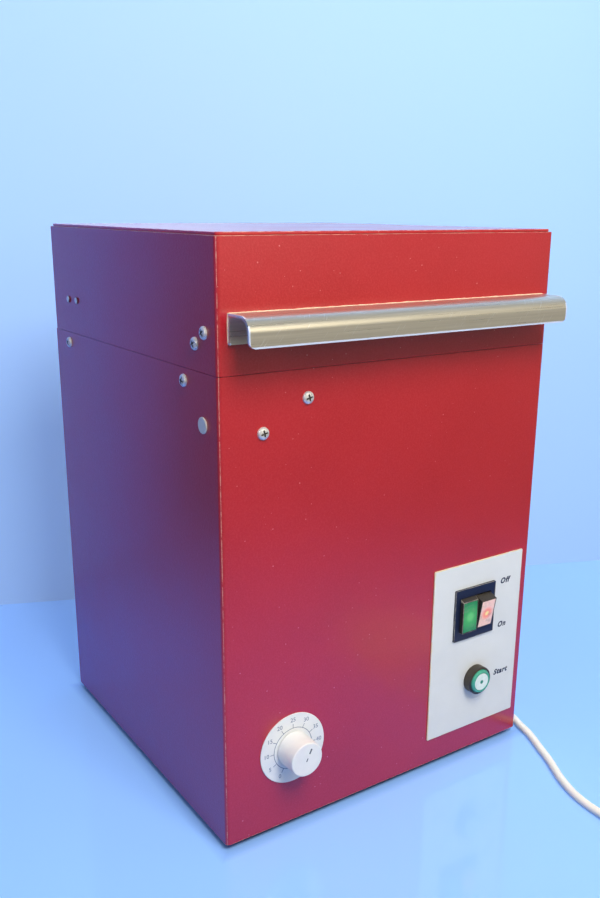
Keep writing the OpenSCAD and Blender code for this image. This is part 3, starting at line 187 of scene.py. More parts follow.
# points within MERGE are one; edges below FLAT go, below SHARP are smooth, above ROUND are rounded
MERGE, FLAT, SHARP, ROUND = 0.001 * MM, math.radians(0.2), math.radians(32), math.radians(35)


def put(name, data):
    """A new object in the scene."""
    obj = bpy.data.objects.new(name, data)
    bpy.context.scene.collection.objects.link(obj)
    return obj


def as_mesh(obj):
    """The mesh that obj shows, with its modifiers."""
    return bpy.data.meshes.new_from_object(
        obj.evaluated_get(bpy.context.evaluated_depsgraph_get()))


def settle(obj, material, body, slot, *replaced):
    """Makes obj a plain smooth mesh in one material that rides on a body, for CAD nodes or alone."""
    mesh = as_mesh(obj)
    obj.modifiers.clear()
    obj.data = mesh
    mesh.materials.clear()
    mesh.materials.append(material)
    if not mesh.has_custom_normals:
        mesh.shade_smooth()
        mesh.set_sharp_from_angle(angle=SHARP)
    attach(obj, body)
    if replaced:
        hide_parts(*replaced)
    return obj


def eased(node, material, radius, segments=2):
    """Copy of a CAD node with its sharp edges rounded. It stands for the node."""
    mesh = nodes[node].data.copy()
    if "custom_normal" in mesh.attributes:
        mesh.attributes.remove(mesh.attributes["custom_normal"])
    form = bmesh.new()
    form.from_mesh(mesh)
    bmesh.ops.remove_doubles(form, verts=form.verts, dist=MERGE)
    bmesh.ops.dissolve_limit(form, angle_limit=FLAT, verts=form.verts, edges=form.edges)
    form.to_mesh(mesh)
    form.free()
    mesh.shade_smooth()
    obj = put(node + "_piece", mesh)
    bevel = obj.modifiers.new("edges", "BEVEL")
    bevel.width = radius
    bevel.segments = segments
    bevel.limit_method = "ANGLE"
    bevel.angle_limit = ROUND
    # the flat faces keep their own direction beside the rounded edges
    flat = obj.modifiers.new("flat", "WEIGHTED_NORMAL")
    flat.weight = 100
    return settle(obj, material, body_of[node], slot_of[node], node)


up = Vector((0, 0, 1))
bend = Vector((0.75, 0.75, 0)) * MM
case_low, case_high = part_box("cabinet_wrap")
case_high.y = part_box("rear_panel")[1].y
case_enamel = enamel("crimson_enamel_case", case_low + bend, case_high - bend + up)
eased("cabinet_wrap", case_enamel, 0.1 * MM)
eased("rear_panel", case_enamel, 0.3 * MM)


# Bottom plate, screwed up against the turned-in lower edges. Hot-dip zinc on steel sheet, whose
# crystals show as pale and dark flakes some millimetres wide.
def grained(name, sockets, dark, light, size, rough, depth=0, stretch=(1, 1, 1)):
    """A material in which noise of one size mixes two colours and two roughnesses, and may raise a
    bump of some depth."""
    material, tree, shader = new_finish(name, sockets)
    drawn = add(tree, "ShaderNodeMapping", {"Vector": place_on(tree), "Scale": stretch})
    grain = noise(tree, size, 4, 0.6, drawn.outputs[0])
    tree.links.new(mix(tree, grain, dark, light), shader.inputs["Base Color"])
    vary_gloss(tree, shader, grain, *rough)
    if depth:
        raise_grain(tree, shader, grain, 0.5, depth)
    return material


galvanised = grained("galvanised_steel", {"Metallic": 1}, "#9a9fa3", "#c8ccce", 5 * MM, (0.3, 0.5))
eased("base_plate", galvanised, 0.3 * MM)


# Case screws: M4 pan heads with a cross recess, nickel-plated, all alike. They hold deck, latch,
# rear panel, bottom plate, block housing and feet. The cross stands as each screw came to stop.
def opened(material):
    """A material's node tree, its shader and what feeds its base colour."""
    shader = material.node_tree.nodes["Principled BSDF"]
    return material.node_tree, shader, shader.inputs["Base Color"].links[0].from_socket


nickel = grained("nickel_plated_steel", {"Metallic": 0.55}, "#e0dcd1", "#f8f5ec", 2 * MM, (0.24, 0.36))
tree, shader, plating = opened(nickel)
# the faces of the cross recess carry a mark, and there the plating is painted darker, a painted shade
recess_shade = add(tree, "ShaderNodeAttribute", attribute_name="recess_shade")
tree.links.new(mix(tree, recess_shade.outputs["Fac"], plating, "#6f6a62"), shader.inputs["Base Color"])


def from_form(name, form):
    """A new object with the mesh of a bmesh, which is freed."""
    mesh = bpy.data.meshes.new(name)
    form.to_mesh(mesh)
    form.free()
    return put(name, mesh)


def lathe(name, profile, steps=40):
    """Closed solid of revolution about Z from a profile of radius and height, axis to axis."""
    form = bmesh.new()
    line = [form.verts.new((r, 0, z)) for r, z in profile]
    edges = [form.edges.new(pair) for pair in zip(line, line[1:])]
    bmesh.ops.spin(form, geom=line + edges, cent=(0, 0, 0), axis=(0, 0, 1),
                   angle=2 * math.pi, steps=steps)
    bmesh.ops.remove_doubles(form, verts=form.verts, dist=MERGE)
    bmesh.ops.recalc_face_normals(form, faces=form.faces)
    return from_form(name, form)


def box_mesh(name, boxes):
    """One object of plain boxes, each between two corners."""
    form = bmesh.new()
    for low, high in boxes:
        low, high = Vector(low), Vector(high)
        place = Matrix.Translation((low + high) / 2) @ Matrix.Diagonal((*(high - low), 1))
        bmesh.ops.create_cube(form, size=1, matrix=place)
    return from_form(name, form)


def solids_of(node):
    """The corner points of each separate solid of a CAD node, in the same order in every run."""
    form = bmesh.new()
    form.from_mesh(nodes[node].data)
    bmesh.ops.remove_doubles(form, verts=form.verts, dist=MERGE)
    left, found = dict.fromkeys(form.verts), []
    while left:
        solid, queue = [], [left.popitem()[0]]
        while queue:
            vert = queue.pop()
            solid.append(vert.co.copy())
            for edge in vert.link_edges:
                other = edge.other_vert(vert)
                if other in left:
                    del left[other]
                    queue.append(other)
        found.append(solid)
    form.free()
    return sorted(found, key=lambda solid: tuple(round(c, 5) for c in solid[0]))


def screw_seats(node, head_h):
    """Seat and outward direction of each screw of a CAD node: more corners lie at its head."""
    seats = []
    for solid in solids_of(node):
        low = Vector([min(p[i] for p in solid) for i in range(3)])
        high = Vector([max(p[i] for p in solid) for i in range(3)])
        lean = sum(solid, Vector()) / len(solid) - (low + high) / 2
        along = max(range(3), key=lambda i: abs(lean[i]))
        out = Vector()
        out[along] = 1 if lean[along] > 0 else -1
        seat = (low + high) / 2
        seat[along] = (high if out[along] > 0 else low)[along] - out[along] * head_h
        seats.append((seat, out))
    return seats


def geometry_tree(name, inputs, output):
    """A Geometry Nodes tree with named inputs and one output, and the sockets of its inputs."""
    tree = bpy.data.node_groups.new(name, "GeometryNodeTree")
    for label, kind in inputs:
        tree.interface.new_socket(label, in_out="INPUT", socket_type="NodeSocket" + kind)
    tree.interface.new_socket(output, in_out="OUTPUT", socket_type="NodeSocketGeometry")
    return tree, add(tree, "NodeGroupInput").outputs


def end_tree(tree, geometry, material):
    """Ends a tree: its instances are made real and get one material."""
    real = add(tree, "GeometryNodeRealizeInstances", {"Geometry": geometry})
    coated = add(tree, "GeometryNodeSetMaterial",
                 {"Geometry": real.outputs[0], "Material": material})
    tree.links.new(coated.outputs[0], add(tree, "NodeGroupOutput").inputs[0])


def nodes_modifier(obj, tree, **values):
    """Puts a Geometry Nodes tree on obj and sets its inputs by their identifiers."""
    modifier = obj.modifiers.new("build", "NODES")
    modifier.node_group = tree
    for item in tree.interface.items_tree:
        if item.name in values:
            modifier[item.identifier] = values[item.name]


# tree that sets a screw on every seat, its Z along the seat's direction and its cross at random
screw_tree, given = geometry_tree(
    "screws_on_seats", (("Seats", "Geometry"), ("Screw", "Object"), ("Size", "Float"),
                        ("Plating", "Material"), ("Seed", "Int")), "Screws")
screw = add(screw_tree, "GeometryNodeObjectInfo", {"Object": given["Screw"]})
out_attribute = add(screw_tree, "GeometryNodeInputNamedAttribute", {"Name": "out"},
                    data_type="FLOAT_VECTOR")
upright = add(screw_tree, "FunctionNodeAlignRotationToVector",
              {"Vector": out_attribute.outputs["Attribute"]}, axis="Z")
turn = add(screw_tree, "FunctionNodeRandomValue",
           {"Max_001": math.pi, "Seed": given["Seed"]}, data_type="FLOAT")
spin = add(screw_tree, "FunctionNodeAxisAngleToRotation",
           {"Axis": (0, 0, 1), "Angle": turn.outputs["Value"]})
stopped = add(screw_tree, "FunctionNodeRotateRotation",
              {"Rotation": upright.outputs[0], "Rotate By": spin.outputs[0]},
              rotation_space="LOCAL")
placed = add(screw_tree, "GeometryNodeInstanceOnPoints",
             {"Points": given["Seats"], "Instance": screw.outputs["Geometry"],
              "Rotation": stopped.outputs[0], "Scale": given["Size"]})
end_tree(screw_tree, placed.outputs[0], given["Plating"])

# the domed head, as radius and height in millimetres from its crown down to its seat
DOME = [(0, 2.2), (1.6, 2.15), (2.8, 1.95), (3.6, 1.5), (4.0, 0.9), (4.1, 0.4), (4.1, 0)]
HEAD_H, SHANK_R, SHANK_L = 2.2 * MM, 2 * MM, 6 * MM
pan_screw = lathe("pan_screw", [(r * MM, z * MM) for r, z in DOME]
                  + [(SHANK_R, 0), (SHANK_R, -SHANK_L), (0, -SHANK_L)])
ARM, SLIT, SUNK, CROWN = 2.4 * MM, 0.55 * MM, 1.3 * MM, 0.3 * MM
cross = box_mesh("cross_recess", [((-ARM, -SLIT, HEAD_H - SUNK), (ARM, SLIT, HEAD_H + SUNK)),
                                  ((-SLIT, -ARM, HEAD_H - SUNK), (SLIT, ARM, HEAD_H + SUNK))])
drive = pan_screw.modifiers.new("cross", "BOOLEAN")
drive.object = cross
drive.solver = "EXACT"
drive.use_self = True
pan_mesh = as_mesh(pan_screw)
pan_screw.modifiers.clear()
pan_screw.data = pan_mesh
bpy.data.objects.remove(cross)
# the faces inside the cross are marked for the painted shade in the recess
mark = pan_mesh.attributes.new("recess_shade", "FLOAT", "FACE")
for face in pan_mesh.polygons:
    in_cross = face.center.xy.length < ARM and 0 < face.center.z < HEAD_H - CROWN
    mark.data[face.index].value = float(in_cross)


def screws(node, seed, size=1.0, head_h=HEAD_H):
    """The screws of a CAD node as pan heads, in one piece that stands for the node."""
    seats = screw_seats(node, head_h)
    mesh = bpy.data.meshes.new(node + "_piece")
    mesh.from_pydata([seat for seat, out in seats], [], [])
    outward = mesh.attributes.new("out", "FLOAT_VECTOR", "POINT")
    outward.data.foreach_set("vector", [c for seat, out in seats for c in out])
    obj = put(node + "_piece", mesh)
    nodes_modifier(obj, screw_tree, Screw=pan_screw, Size=size, Plating=nickel, Seed=seed)
    return settle(obj, nickel, body_of[node], slot_of[node], node)


screws("case_screws", seed=3)


# Feet: four black rubber buffers under the bottom plate, moulded, a little narrower at the floor.
# Each is held by a screw through its middle.
rubber = grained("black_rubber", {"IOR": 1.45},
                 "#1d1e20", "#2c2d30", 1.5 * MM, (0.6, 0.8), 0.05 * MM)
eased("feet", rubber, 0.8 * MM)


# Deck under the lid and what hangs from it: white enamelled sheet with slots for hook and stay, and
# a zinc-plated housing that holds the block in ceramic wool on four ceramic posts.
white_enamel = grained("white_enamel", {"IOR": 1.5, "Coat Weight": 0.3},
                       "#cccfd0", "#dcdedf", 40 * MM, (0.28, 0.4), 0.02 * MM)
wool = grained("ceramic_wool", {"Sheen Weight": 0.3},
               "#d8d2c2", "#f2eee4", 3 * MM, (0.9, 1.0), 1.2 * MM, (1, 1, 2.5))
ceramic = grained("steatite_ceramic", {"IOR": 1.6},
                  "#e4ddcc", "#f1ece0", 4 * MM, (0.4, 0.55), 0.05 * MM)
eased("top_deck", white_enamel, 0.3 * MM)
eased("block_housing", galvanised, 0.3 * MM)
eased("block_insulation", wool, 2.5 * MM, 3)
eased("block_supports", ceramic, 0.6 * MM)


# Heating block: a drilled aluminium block on a heater plate, sawn and milled, its wells reamed. A
# white fluoroplastic frame closes the gap to the deck. Cartridges, bulb and cut-out sit in and on
# the plate.
milled = grained("milled_aluminium", {"Metallic": 1},
                 "#b4b6b8", "#d6d7d8", 0.8 * MM, (0.28, 0.42), 0.03 * MM, (0.02, 1, 0.4))
fluoroplastic = grained("white_fluoroplastic", {"Subsurface Weight": 0.1},
                        "#e6e5dd", "#f3f2ec", 6 * MM, (0.45, 0.6))
heater_steel = grained("heat_tinted_steel", {"Metallic": 1},
                       "#7a6a58", "#a79f95", 6 * MM, (0.35, 0.5))
copper = grained("dull_copper", {"Metallic": 1}, "#8f5a36", "#bd8355", 5 * MM, (0.35, 0.5))
phenolic = grained("brown_phenolic", {"IOR": 1.6}, "#3a2618", "#55392a", 2 * MM, (0.4, 0.55))
eased("heater_plate", milled, 0.5 * MM)
eased("heating_block", milled, 0.8 * MM)
eased("block_trim", fluoroplastic, 0.5 * MM)
eased("cartridge_heaters", heater_steel, 0.4 * MM)
eased("sensing_bulb", copper, 0.3 * MM)
eased("overheat_cutout", phenolic, 0.3 * MM)


# Thermostat: a zinc-plated case behind the front, held by two flush screws under the dial. Its
# nickel-plated shaft comes through the front and carries the knob.
eased("thermostat", galvanised, 0.5 * MM)
eased("thermostat_screws", nickel, 0.3 * MM)
eased("thermostat_shaft", nickel, 0.3 * MM)


# Dial: a white moulded disc that lies on the front round the shaft, printed in thin grey-blue ink
# with a ring, ticks and plain numbers.
dial_low, dial_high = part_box("dial_plate")
DIAL_X, DIAL_Z = (dial_low.x + dial_high.x) / 2, (dial_low.z + dial_high.z) / 2
white_plastic = grained("white_moulded_plastic", {"IOR": 1.5, "Subsurface Weight": 0.05},
                        "#e3e4e2", "#f2f2ef", 9 * MM, (0.3, 0.42))
blue_ink = grained("grey_blue_ink", {"IOR": 1.4}, "#5f6f88", "#7d8ba1", 1.2 * MM, (0.5, 0.6))
eased("dial_plate", white_plastic, 0.35 * MM)
INK = 0.06 * MM
RING_R, TICK_L, TICK_W = 15.4 * MM, 3.2 * MM, 0.4 * MM
NUMBER_R, NUMBER_H, NUMBER_STEP = 21.5 * MM, 4.4 * MM, 5
FIRST, STEP, COUNT = math.radians(210), math.radians(30), 11

# tree that prints the ring and one tick outside it at every step, lying in XY
dial_tree, given = geometry_tree(
    "dial_ring_and_ticks",
    (("Ring radius", "Float"), ("Tick length", "Float"), ("Line width", "Float"), ("Ink", "Float"),
     ("First angle", "Float"), ("Step angle", "Float"), ("Count", "Int"), ("Print", "Material")),
    "Marks")
index = add(dial_tree, "GeometryNodeInputIndex").outputs[0]
swept = calc(dial_tree, "MULTIPLY_ADD", index, given["Step angle"], given["First angle"])
# the angle runs clockwise from twelve o'clock
aim = add(dial_tree, "FunctionNodeAxisAngleToRotation",
          {"Axis": (0, 0, 1), "Angle": calc(dial_tree, "SUBTRACT", 0, swept)})
tick_size = add(dial_tree, "ShaderNodeCombineXYZ",
                {"X": given["Line width"], "Y": given["Tick length"], "Z": given["Ink"]})
tick_cube = add(dial_tree, "GeometryNodeMeshCube", {"Size": tick_size.outputs[0]})
half_way = calc(dial_tree, "MULTIPLY_ADD", given["Tick length"], 0.5, given["Ring radius"])
outside = add(dial_tree, "ShaderNodeCombineXYZ", {"Y": half_way})
tick = add(dial_tree, "GeometryNodeTransform",
           {"Geometry": tick_cube.outputs[0], "Translation": outside.outputs[0]})
steps = add(dial_tree, "GeometryNodePoints", {"Count": given["Count"]})
ticks = add(dial_tree, "GeometryNodeInstanceOnPoints",
            {"Points": steps.outputs[0], "Instance": tick.outputs[0], "Rotation": aim.outputs[0]})
ring_line = add(dial_tree, "GeometryNodeCurvePrimitiveCircle",
                {"Resolution": 96, "Radius": given["Ring radius"]})
ring_section = add(dial_tree, "GeometryNodeCurvePrimitiveQuadrilateral",
                   {"Width": given["Line width"], "Height": given["Ink"]})
ring_band = add(dial_tree, "GeometryNodeCurveToMesh",
                {"Curve": ring_line.outputs[0], "Profile Curve": ring_section.outputs[0]})
joined = add(dial_tree, "GeometryNodeJoinGeometry")
for part in (ticks, ring_band):
    dial_tree.links.new(part.outputs[0], joined.inputs[0])
end_tree(dial_tree, joined.outputs[0], given["Print"])

marks = put("dial_marks", bpy.data.meshes.new("dial_marks"))
nodes_modifier(marks, dial_tree, **{
    "Ring radius": RING_R, "Tick length": TICK_L, "Line width": TICK_W, "Ink": INK,
    "First angle": FIRST, "Step angle": STEP, "Count": COUNT, "Print": blue_ink})
settle(marks, blue_ink, "cabinet", "white_plastic")
on_front = Matrix.Rotation(math.pi / 2, 4, "X")
marks.data.transform(Matrix.Translation((DIAL_X, dial_low.y - INK / 2, DIAL_Z)) @ on_front)


def lettering(name, words, size, material, body, slot, **style):
    """Raised flat letters of one size on the front: words are (text, place); all in one piece."""
    form = bmesh.new()
    for text, place in words:
        font = bpy.data.curves.new(name, "FONT")
        font.body, font.size = text, size
        font.align_x, font.align_y = style.get("align", "CENTER"), "CENTER"
        font.extrude = INK / 2
        font.shear, font.offset = style.get("shear", 0), style.get("bold", 0)
        font.space_character, font.resolution_u = style.get("spacing", 1), 3
        flat = put(name, font)
        bpy.context.view_layer.update()
        mesh = as_mesh(flat)
        mesh.transform(Matrix.Translation(place) @ on_front)
        form.from_mesh(mesh)
        bpy.data.objects.remove(flat)
    return settle(from_form(name, form), material, body, slot)


numbers = []
for i in range(COUNT):
    angle = FIRST + i * STEP
    place = (DIAL_X + NUMBER_R * math.sin(angle), dial_low.y - INK / 2,
             DIAL_Z + NUMBER_R * math.cos(angle))
    numbers.append((str(NUMBER_STEP * i), place))
lettering("dial_numbers", numbers, NUMBER_H, blue_ink, "cabinet", "white_plastic")


# Knob: moulded white plastic pushed on the shaft, with two grey dashes in its face as a pointer,
# which stands at one o'clock.
KNOB_TURN = math.radians(27)
knob_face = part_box("knob")[0].y
eased("knob", white_plastic, 0.25 * MM)
grey_ink = grained("grey_ink", {"IOR": 1.4}, "#3f4653", "#5a6270", 1 * MM, (0.5, 0.6))
# half width, inner end, outer end and depth of each dash
DASHES = ((0.4 * MM, 4.4 * MM, 8.2 * MM, 0.6 * MM), (0.35 * MM, -1.4 * MM, 1.2 * MM, INK))
dashes = box_mesh("knob_pointer", [((-half, inner, -deep), (half, outer, INK))
                                   for half, inner, outer, deep in DASHES])
dashes.data.transform(Matrix.Translation((DIAL_X, knob_face, DIAL_Z)) @ on_front
                      @ Matrix.Rotation(-KNOB_TURN, 4, "Z"))
settle(dashes, grey_ink, "control_knob", "white_plastic")


# Control plate: pale grey enamelled sheet behind switch and button, worn to a warm tone at its
# edges, with three short printed words.
plate_low, plate_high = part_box("control_plate")
plate_enamel, tree, shader = new_finish("pale_grey_enamel", {"IOR": 1.5, "Coat Weight": 0.15})
haze = noise(tree, 35 * MM, 5, 0.65)
colour = mix(tree, haze, "#d6d9d6", "#e7e9e4")
colour = paint_edge_wear_and_highlight(tree, colour, plate_low, plate_high, 1.1 * MM, "#e6d8b6")[0]
tree.links.new(colour, shader.inputs["Base Color"])
vary_gloss(tree, shader, haze, 0.38, 0.5)
eased("control_plate", plate_enamel, 0.4 * MM)
navy_ink = grained("navy_ink", {"IOR": 1.4}, "#1d2438", "#2c3650", 1 * MM, (0.5, 0.6))
# each word's left end and middle height, in millimetres from the plate's lower left corner
WORD_H = 6.2 * MM
WORDS = (("Off", 68.3, 117.4), ("On", 68.3, 80.4), ("Start", 67.8, 38.8))
words = [(text, plate_low + Vector((x * MM, -INK / 2, z * MM))) for text, x, z in WORDS]
lettering("plate_words", words, WORD_H, navy_ink, "cabinet", "plate_grey",
          align="LEFT", shear=0.25, bold=0.26 * MM, spacing=1.2)


# Switch: a navy-black moulded frame clipped into the front, a green lamp block on its left and on
# its right a dark rocker with a pale red lens, lit from behind by a small lamp.
DUST_DARK, DUST_PALE, DUST_GRAIN = "#151412", "#4d463a", 1.2 * MM
BLOCK_OUT, BLOCK_RIM = 3.5 * MM, 0.6 * MM
switch_low, switch_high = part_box("switch_housing")
lens_low, lens_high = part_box("pilot_lens")
frame_low = switch_low + Vector((0, BLOCK_OUT, 0))
frame_plastic = grained("navy_black_plastic", {"IOR": 1.5},
                        "#141a2b", "#1e2740", 2 * MM, (0.3, 0.42), 0.02 * MM)
tree, shader, navy = opened(frame_plastic)
# the lamp block that stands out of the frame is brown-black and dusty
dusty = mix(tree, noise(tree, DUST_GRAIN, 4), DUST_DARK, DUST_PALE)
# pale lines on the edges of the block's face and of the frame: partly wear, partly a painted highlight
block_low = Vector((lens_low.x - BLOCK_RIM, switch_low.y, lens_low.z - BLOCK_RIM))
block_high = Vector((lens_high.x + BLOCK_RIM, switch_high.y, lens_high.z + BLOCK_RIM))
edge_wear_and_glint = paint_edge_wear_and_highlight(tree, dusty, block_low, block_high, 0.35 * MM, "#a89f8b")[0]
depth = add(tree, "ShaderNodeSeparateXYZ", {"Vector": place_on(tree)}).outputs["Y"]
raised = calc(tree, "LESS_THAN", depth, frame_low.y - 0.1 * MM)
colour = mix(tree, raised, navy, edge_wear_and_glint)
colour = paint_edge_wear_and_highlight(tree, colour, frame_low, switch_high, 0.5 * MM, "#9c9786")[0]
tree.links.new(colour, shader.inputs["Base Color"])
rocker_plastic = grained("brown_black_plastic", {"IOR": 1.5},
                         DUST_DARK, DUST_PALE, DUST_GRAIN, (0.25, 0.45), 0.02 * MM)


def lit_lens(name, node, core, halo, edge, glow, radius):
    """Clear coloured lens over a small lamp: a bright core, a halo round it and duller edges, with
    grime on its face."""
    low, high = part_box(node)
    material, tree, shader = new_finish(
        name, {"IOR": 1.49, "Roughness": 0.2, "Coat Weight": 0.3, "Emission Strength": glow})
    lamp = add(tree, "ShaderNodeVectorMath",
               {"Vector": place_on(tree), "Vector_001": (low + high) / 2}, operation="DISTANCE")
    colour = core
    # each tone comes in between two shares of the radius
    for near, far, tone in ((0.15, 0.4, halo), (0.35, 1.0, edge)):
        fade = ramp(tree, lamp.outputs["Value"], near * radius, far * radius,
                    interpolation_type="SMOOTHSTEP")
        colour = mix(tree, fade, colour, tone)
    film = ramp(tree, noise(tree, 3 * MM, 5), 0.5, 0.75, 0, 0.35)
    tint = mix(tree, film, colour, "#7d7a6c")
    for socket in ("Base Color", "Emission Color"):
        tree.links.new(tint, shader.inputs[socket])
    return material


green_lens = lit_lens("green_acrylic", "pilot_lens",
                      "#5fbd64", "#42a151", "#2a8046", 0.15, 13 * MM)
red_lens = lit_lens("pale_red_acrylic", "rocker_lens",
                    "#ffe08c", "#f78d76", "#e8bfae", 0.25, 7 * MM)
eased("switch_housing", frame_plastic, 0.3 * MM)
eased("pilot_lens", green_lens, 0.25 * MM)
eased("rocker", rocker_plastic, 0.35 * MM)
eased("rocker_lens", red_lens, 0.25 * MM)


# Start button: a black moulded ring screwed through the front with a nut behind it, and a green
# acrylic cap with a white disc let in. The disc's middle is dark green.
DOT_R, DOT_END = 1.1 * MM, 2 * MM
black_plastic = grained("black_moulded_plastic", {"IOR": 1.5},
                        "#16171a", "#26272a", 2 * MM, (0.28, 0.42))
green_cap = grained("teal_acrylic", {"IOR": 1.49, "Coat Weight": 0.3},
                    "#2f9175", "#5fb898", 3 * MM, (0.15, 0.25))
ring_plastic = grained("dusty_black_plastic", {"IOR": 1.5},
                       "#141312", "#4f4739", 3 * MM, (0.3, 0.5))
disc_plastic, tree, shader = new_finish("white_opal_acrylic", {"IOR": 1.49, "Roughness": 0.25})
disc_low, disc_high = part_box("button_disc")
middle = (disc_low + disc_high) / 2
middle.y = disc_low.y
spot = add(tree, "ShaderNodeVectorMath",
           {"Vector": place_on(tree), "Vector_001": middle}, operation="DISTANCE")
dot = ramp(tree, spot.outputs["Value"], DOT_R, DOT_END, interpolation_type="SMOOTHSTEP")
white = mix(tree, noise(tree, 2 * MM, 3), "#c4dfd0", "#f6faf6")
tree.links.new(mix(tree, dot, "#2c8a72", white), shader.inputs["Base Color"])
eased("button_bezel", ring_plastic, 0.4 * MM)
eased("button_nut", nickel, 0.3 * MM)
eased("button_cap", green_cap, 0.35 * MM)
eased("button_disc", disc_plastic, 0.2 * MM)


# Relay, terminal strip and wires in the bottom: dark moulded case, pale moulded strip, red PVC.
# Single wires join the cord entry, strip, switch, relay, thermostat and heaters.
strip_plastic = grained("cream_moulded_plastic", {"IOR": 1.5},
                        "#d8d2bf", "#e8e3d4", 6 * MM, (0.4, 0.55))
wire_pvc = grained("red_wire_pvc", {"IOR": 1.5}, "#8e2c22", "#b0453a", 4 * MM, (0.35, 0.5))
eased("relay", black_plastic, 0.8 * MM)
eased("terminal_block", strip_plastic, 0.6 * MM)
eased("wiring_harness", wire_pvc, 0.05 * MM, 1)


# Latch: a zinc-plated angle bracket behind the front's two screws with a solenoid, its bright bolt,
# and a flat plug in dull nickel in the hole in the left side.
dull_nickel = grained("dull_nickel_plate", {"Metallic": 0.2},
                      "#cfccc0", "#e2dfd4", 2 * MM, (0.4, 0.55))
eased("latch_bracket", galvanised, 0.3 * MM)
eased("latch_solenoid", black_plastic, 0.6 * MM)
eased("latch_bolt", nickel, 0.5 * MM)
eased("hole_plug", dull_nickel, 0.4 * MM, 3)


# Hinge: two stamped leaves rolled round a pin along the rear of the seam, zinc-plated, with small
# pan head screws into rear panel and lid.
LEAF_HEAD, LEAF_SCREW = 1.3 * MM, 0.68
zinc = grained("zinc_plated_steel", {"Metallic": 1}, "#b3b6b8", "#d5d7d8", 3 * MM, (0.25, 0.4))
eased("hinge_body_leaf", zinc, 0.25 * MM)
eased("hinge_lid_leaf", zinc, 0.25 * MM)
eased("hinge_pin", zinc, 0.3 * MM)
screws("hinge_body_screws", seed=5, size=LEAF_SCREW, head_h=LEAF_HEAD)
screws("hinge_lid_screws", seed=7, size=LEAF_SCREW, head_h=LEAF_HEAD)


# Lid: painted walls with a turned-in top edge and a separate cover plate, in the cabinet's enamel,
# a white enamelled liner in wool, and a soft grey seal.
LOWER_EDGE, LOWERED = 0.3 * MM, 0.35 * MM
lid_low, lid_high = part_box("lid_wrap")
cover_low, cover_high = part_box("lid_top")
wall_enamel = enamel("crimson_enamel_lid", lid_low + bend - up, lid_high - bend)
cover_enamel = enamel("crimson_enamel_cover", cover_low - up, cover_high)
silicone = grained("grey_silicone", {"IOR": 1.4}, "#3e4043", "#54565a", 3 * MM, (0.55, 0.7))
lid_walls = eased("lid_wrap", wall_enamel, 0.1 * MM)
# the seam looks thinner than the solids' running gap, so the walls' lower edge comes down a little
for vert in lid_walls.data.vertices:
    if vert.co.z < lid_low.z + LOWER_EDGE:
        vert.co.z -= LOWERED
eased("lid_top", cover_enamel, 0.5 * MM)
eased("lid_liner", white_enamel, 0.6 * MM)
eased("lid_insulation", wool, 1.5 * MM)
eased("lid_gasket", silicone, 0.6 * MM)


# Pull: one bent length of aluminium with open ends, drawn lengthwise and scratched in use, screwed
# from inside the lid. A bead of old pale sealant runs along its back plate.
pull_metal, tree, shader = new_finish("drawn_aluminium", {"Anisotropic": 0.5})
place = place_on(tree)
drawn = add(tree, "ShaderNodeMapping", {"Vector": place, "Scale": (0.012, 1, 1)})
streak = noise(tree, 0.9 * MM, 3, place=drawn.outputs[0])
tone = mix(tree, streak, "#d2ccba", "#f5eedb")
# scratches: bright lines half a millimetre wide and some 12 mm long, at a slant to the drawing
SCRATCH_L, SCRATCH_W, SLANT = 12 * MM, 0.5 * MM, math.radians(-50)
across = add(tree, "ShaderNodeMapping",
             {"Vector": place, "Rotation": (0, SLANT, 0),
              "Scale": (SCRATCH_L, SCRATCH_L, SCRATCH_W)}, vector_type="TEXTURE")
scratch = ramp(tree, noise(tree, 1, 1, place=across.outputs[0]), 0.7, 0.76)
tone = mix(tree, scratch, tone, "#fbf9f2")
# the edges are painted a pale blue-white, a painted reflection of the bright room, and are less
# metallic there
pull_low, pull_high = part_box("lid_handle")
edge_reflection_tone, edge_wear_and_highlight = paint_edge_wear_and_highlight(tree, tone, pull_low, pull_high, 1.3 * MM, "#dde7fb", 0.75)
tree.links.new(edge_reflection_tone, shader.inputs["Base Color"])
tree.links.new(ramp(tree, edge_wear_and_highlight, 0, 1, 0.86, 0.4), shader.inputs["Metallic"])
vary_gloss(tree, shader, streak, 0.26, 0.4)
raise_grain(tree, shader, streak, 0.15, 0.05 * MM)
eased("lid_handle", pull_metal, 0.8 * MM, 3)
screws("handle_screws", seed=11)

# tree that lays a ragged bead along a line of corners
bead_tree, given = geometry_tree(
    "sealant_bead", (("Line", "Geometry"), ("Bead radius", "Float"), ("Point spacing", "Float"),
                     ("Raggedness", "Float"), ("Sealant", "Material")), "Bead")
line = add(bead_tree, "GeometryNodeMeshToCurve", {"Mesh": given["Line"]})
even = add(bead_tree, "GeometryNodeResampleCurve",
           {"Curve": line.outputs[0], "Length": given["Point spacing"]}, mode="LENGTH")
where = add(bead_tree, "GeometryNodeInputPosition").outputs[0]
thick = ramp(bead_tree, noise(bead_tree, 4 * MM, 3, place=where), NOISE_LOW, NOISE_HIGH,
             1, given["Raggedness"])
section = add(bead_tree, "GeometryNodeCurvePrimitiveCircle",
              {"Resolution": 8, "Radius": given["Bead radius"]})
bead = add(bead_tree, "GeometryNodeCurveToMesh",
           {"Curve": even.outputs[0], "Profile Curve": section.outputs[0],
            "Scale": thick, "Fill Caps": True})
end_tree(bead_tree, bead.outputs[0], given["Sealant"])

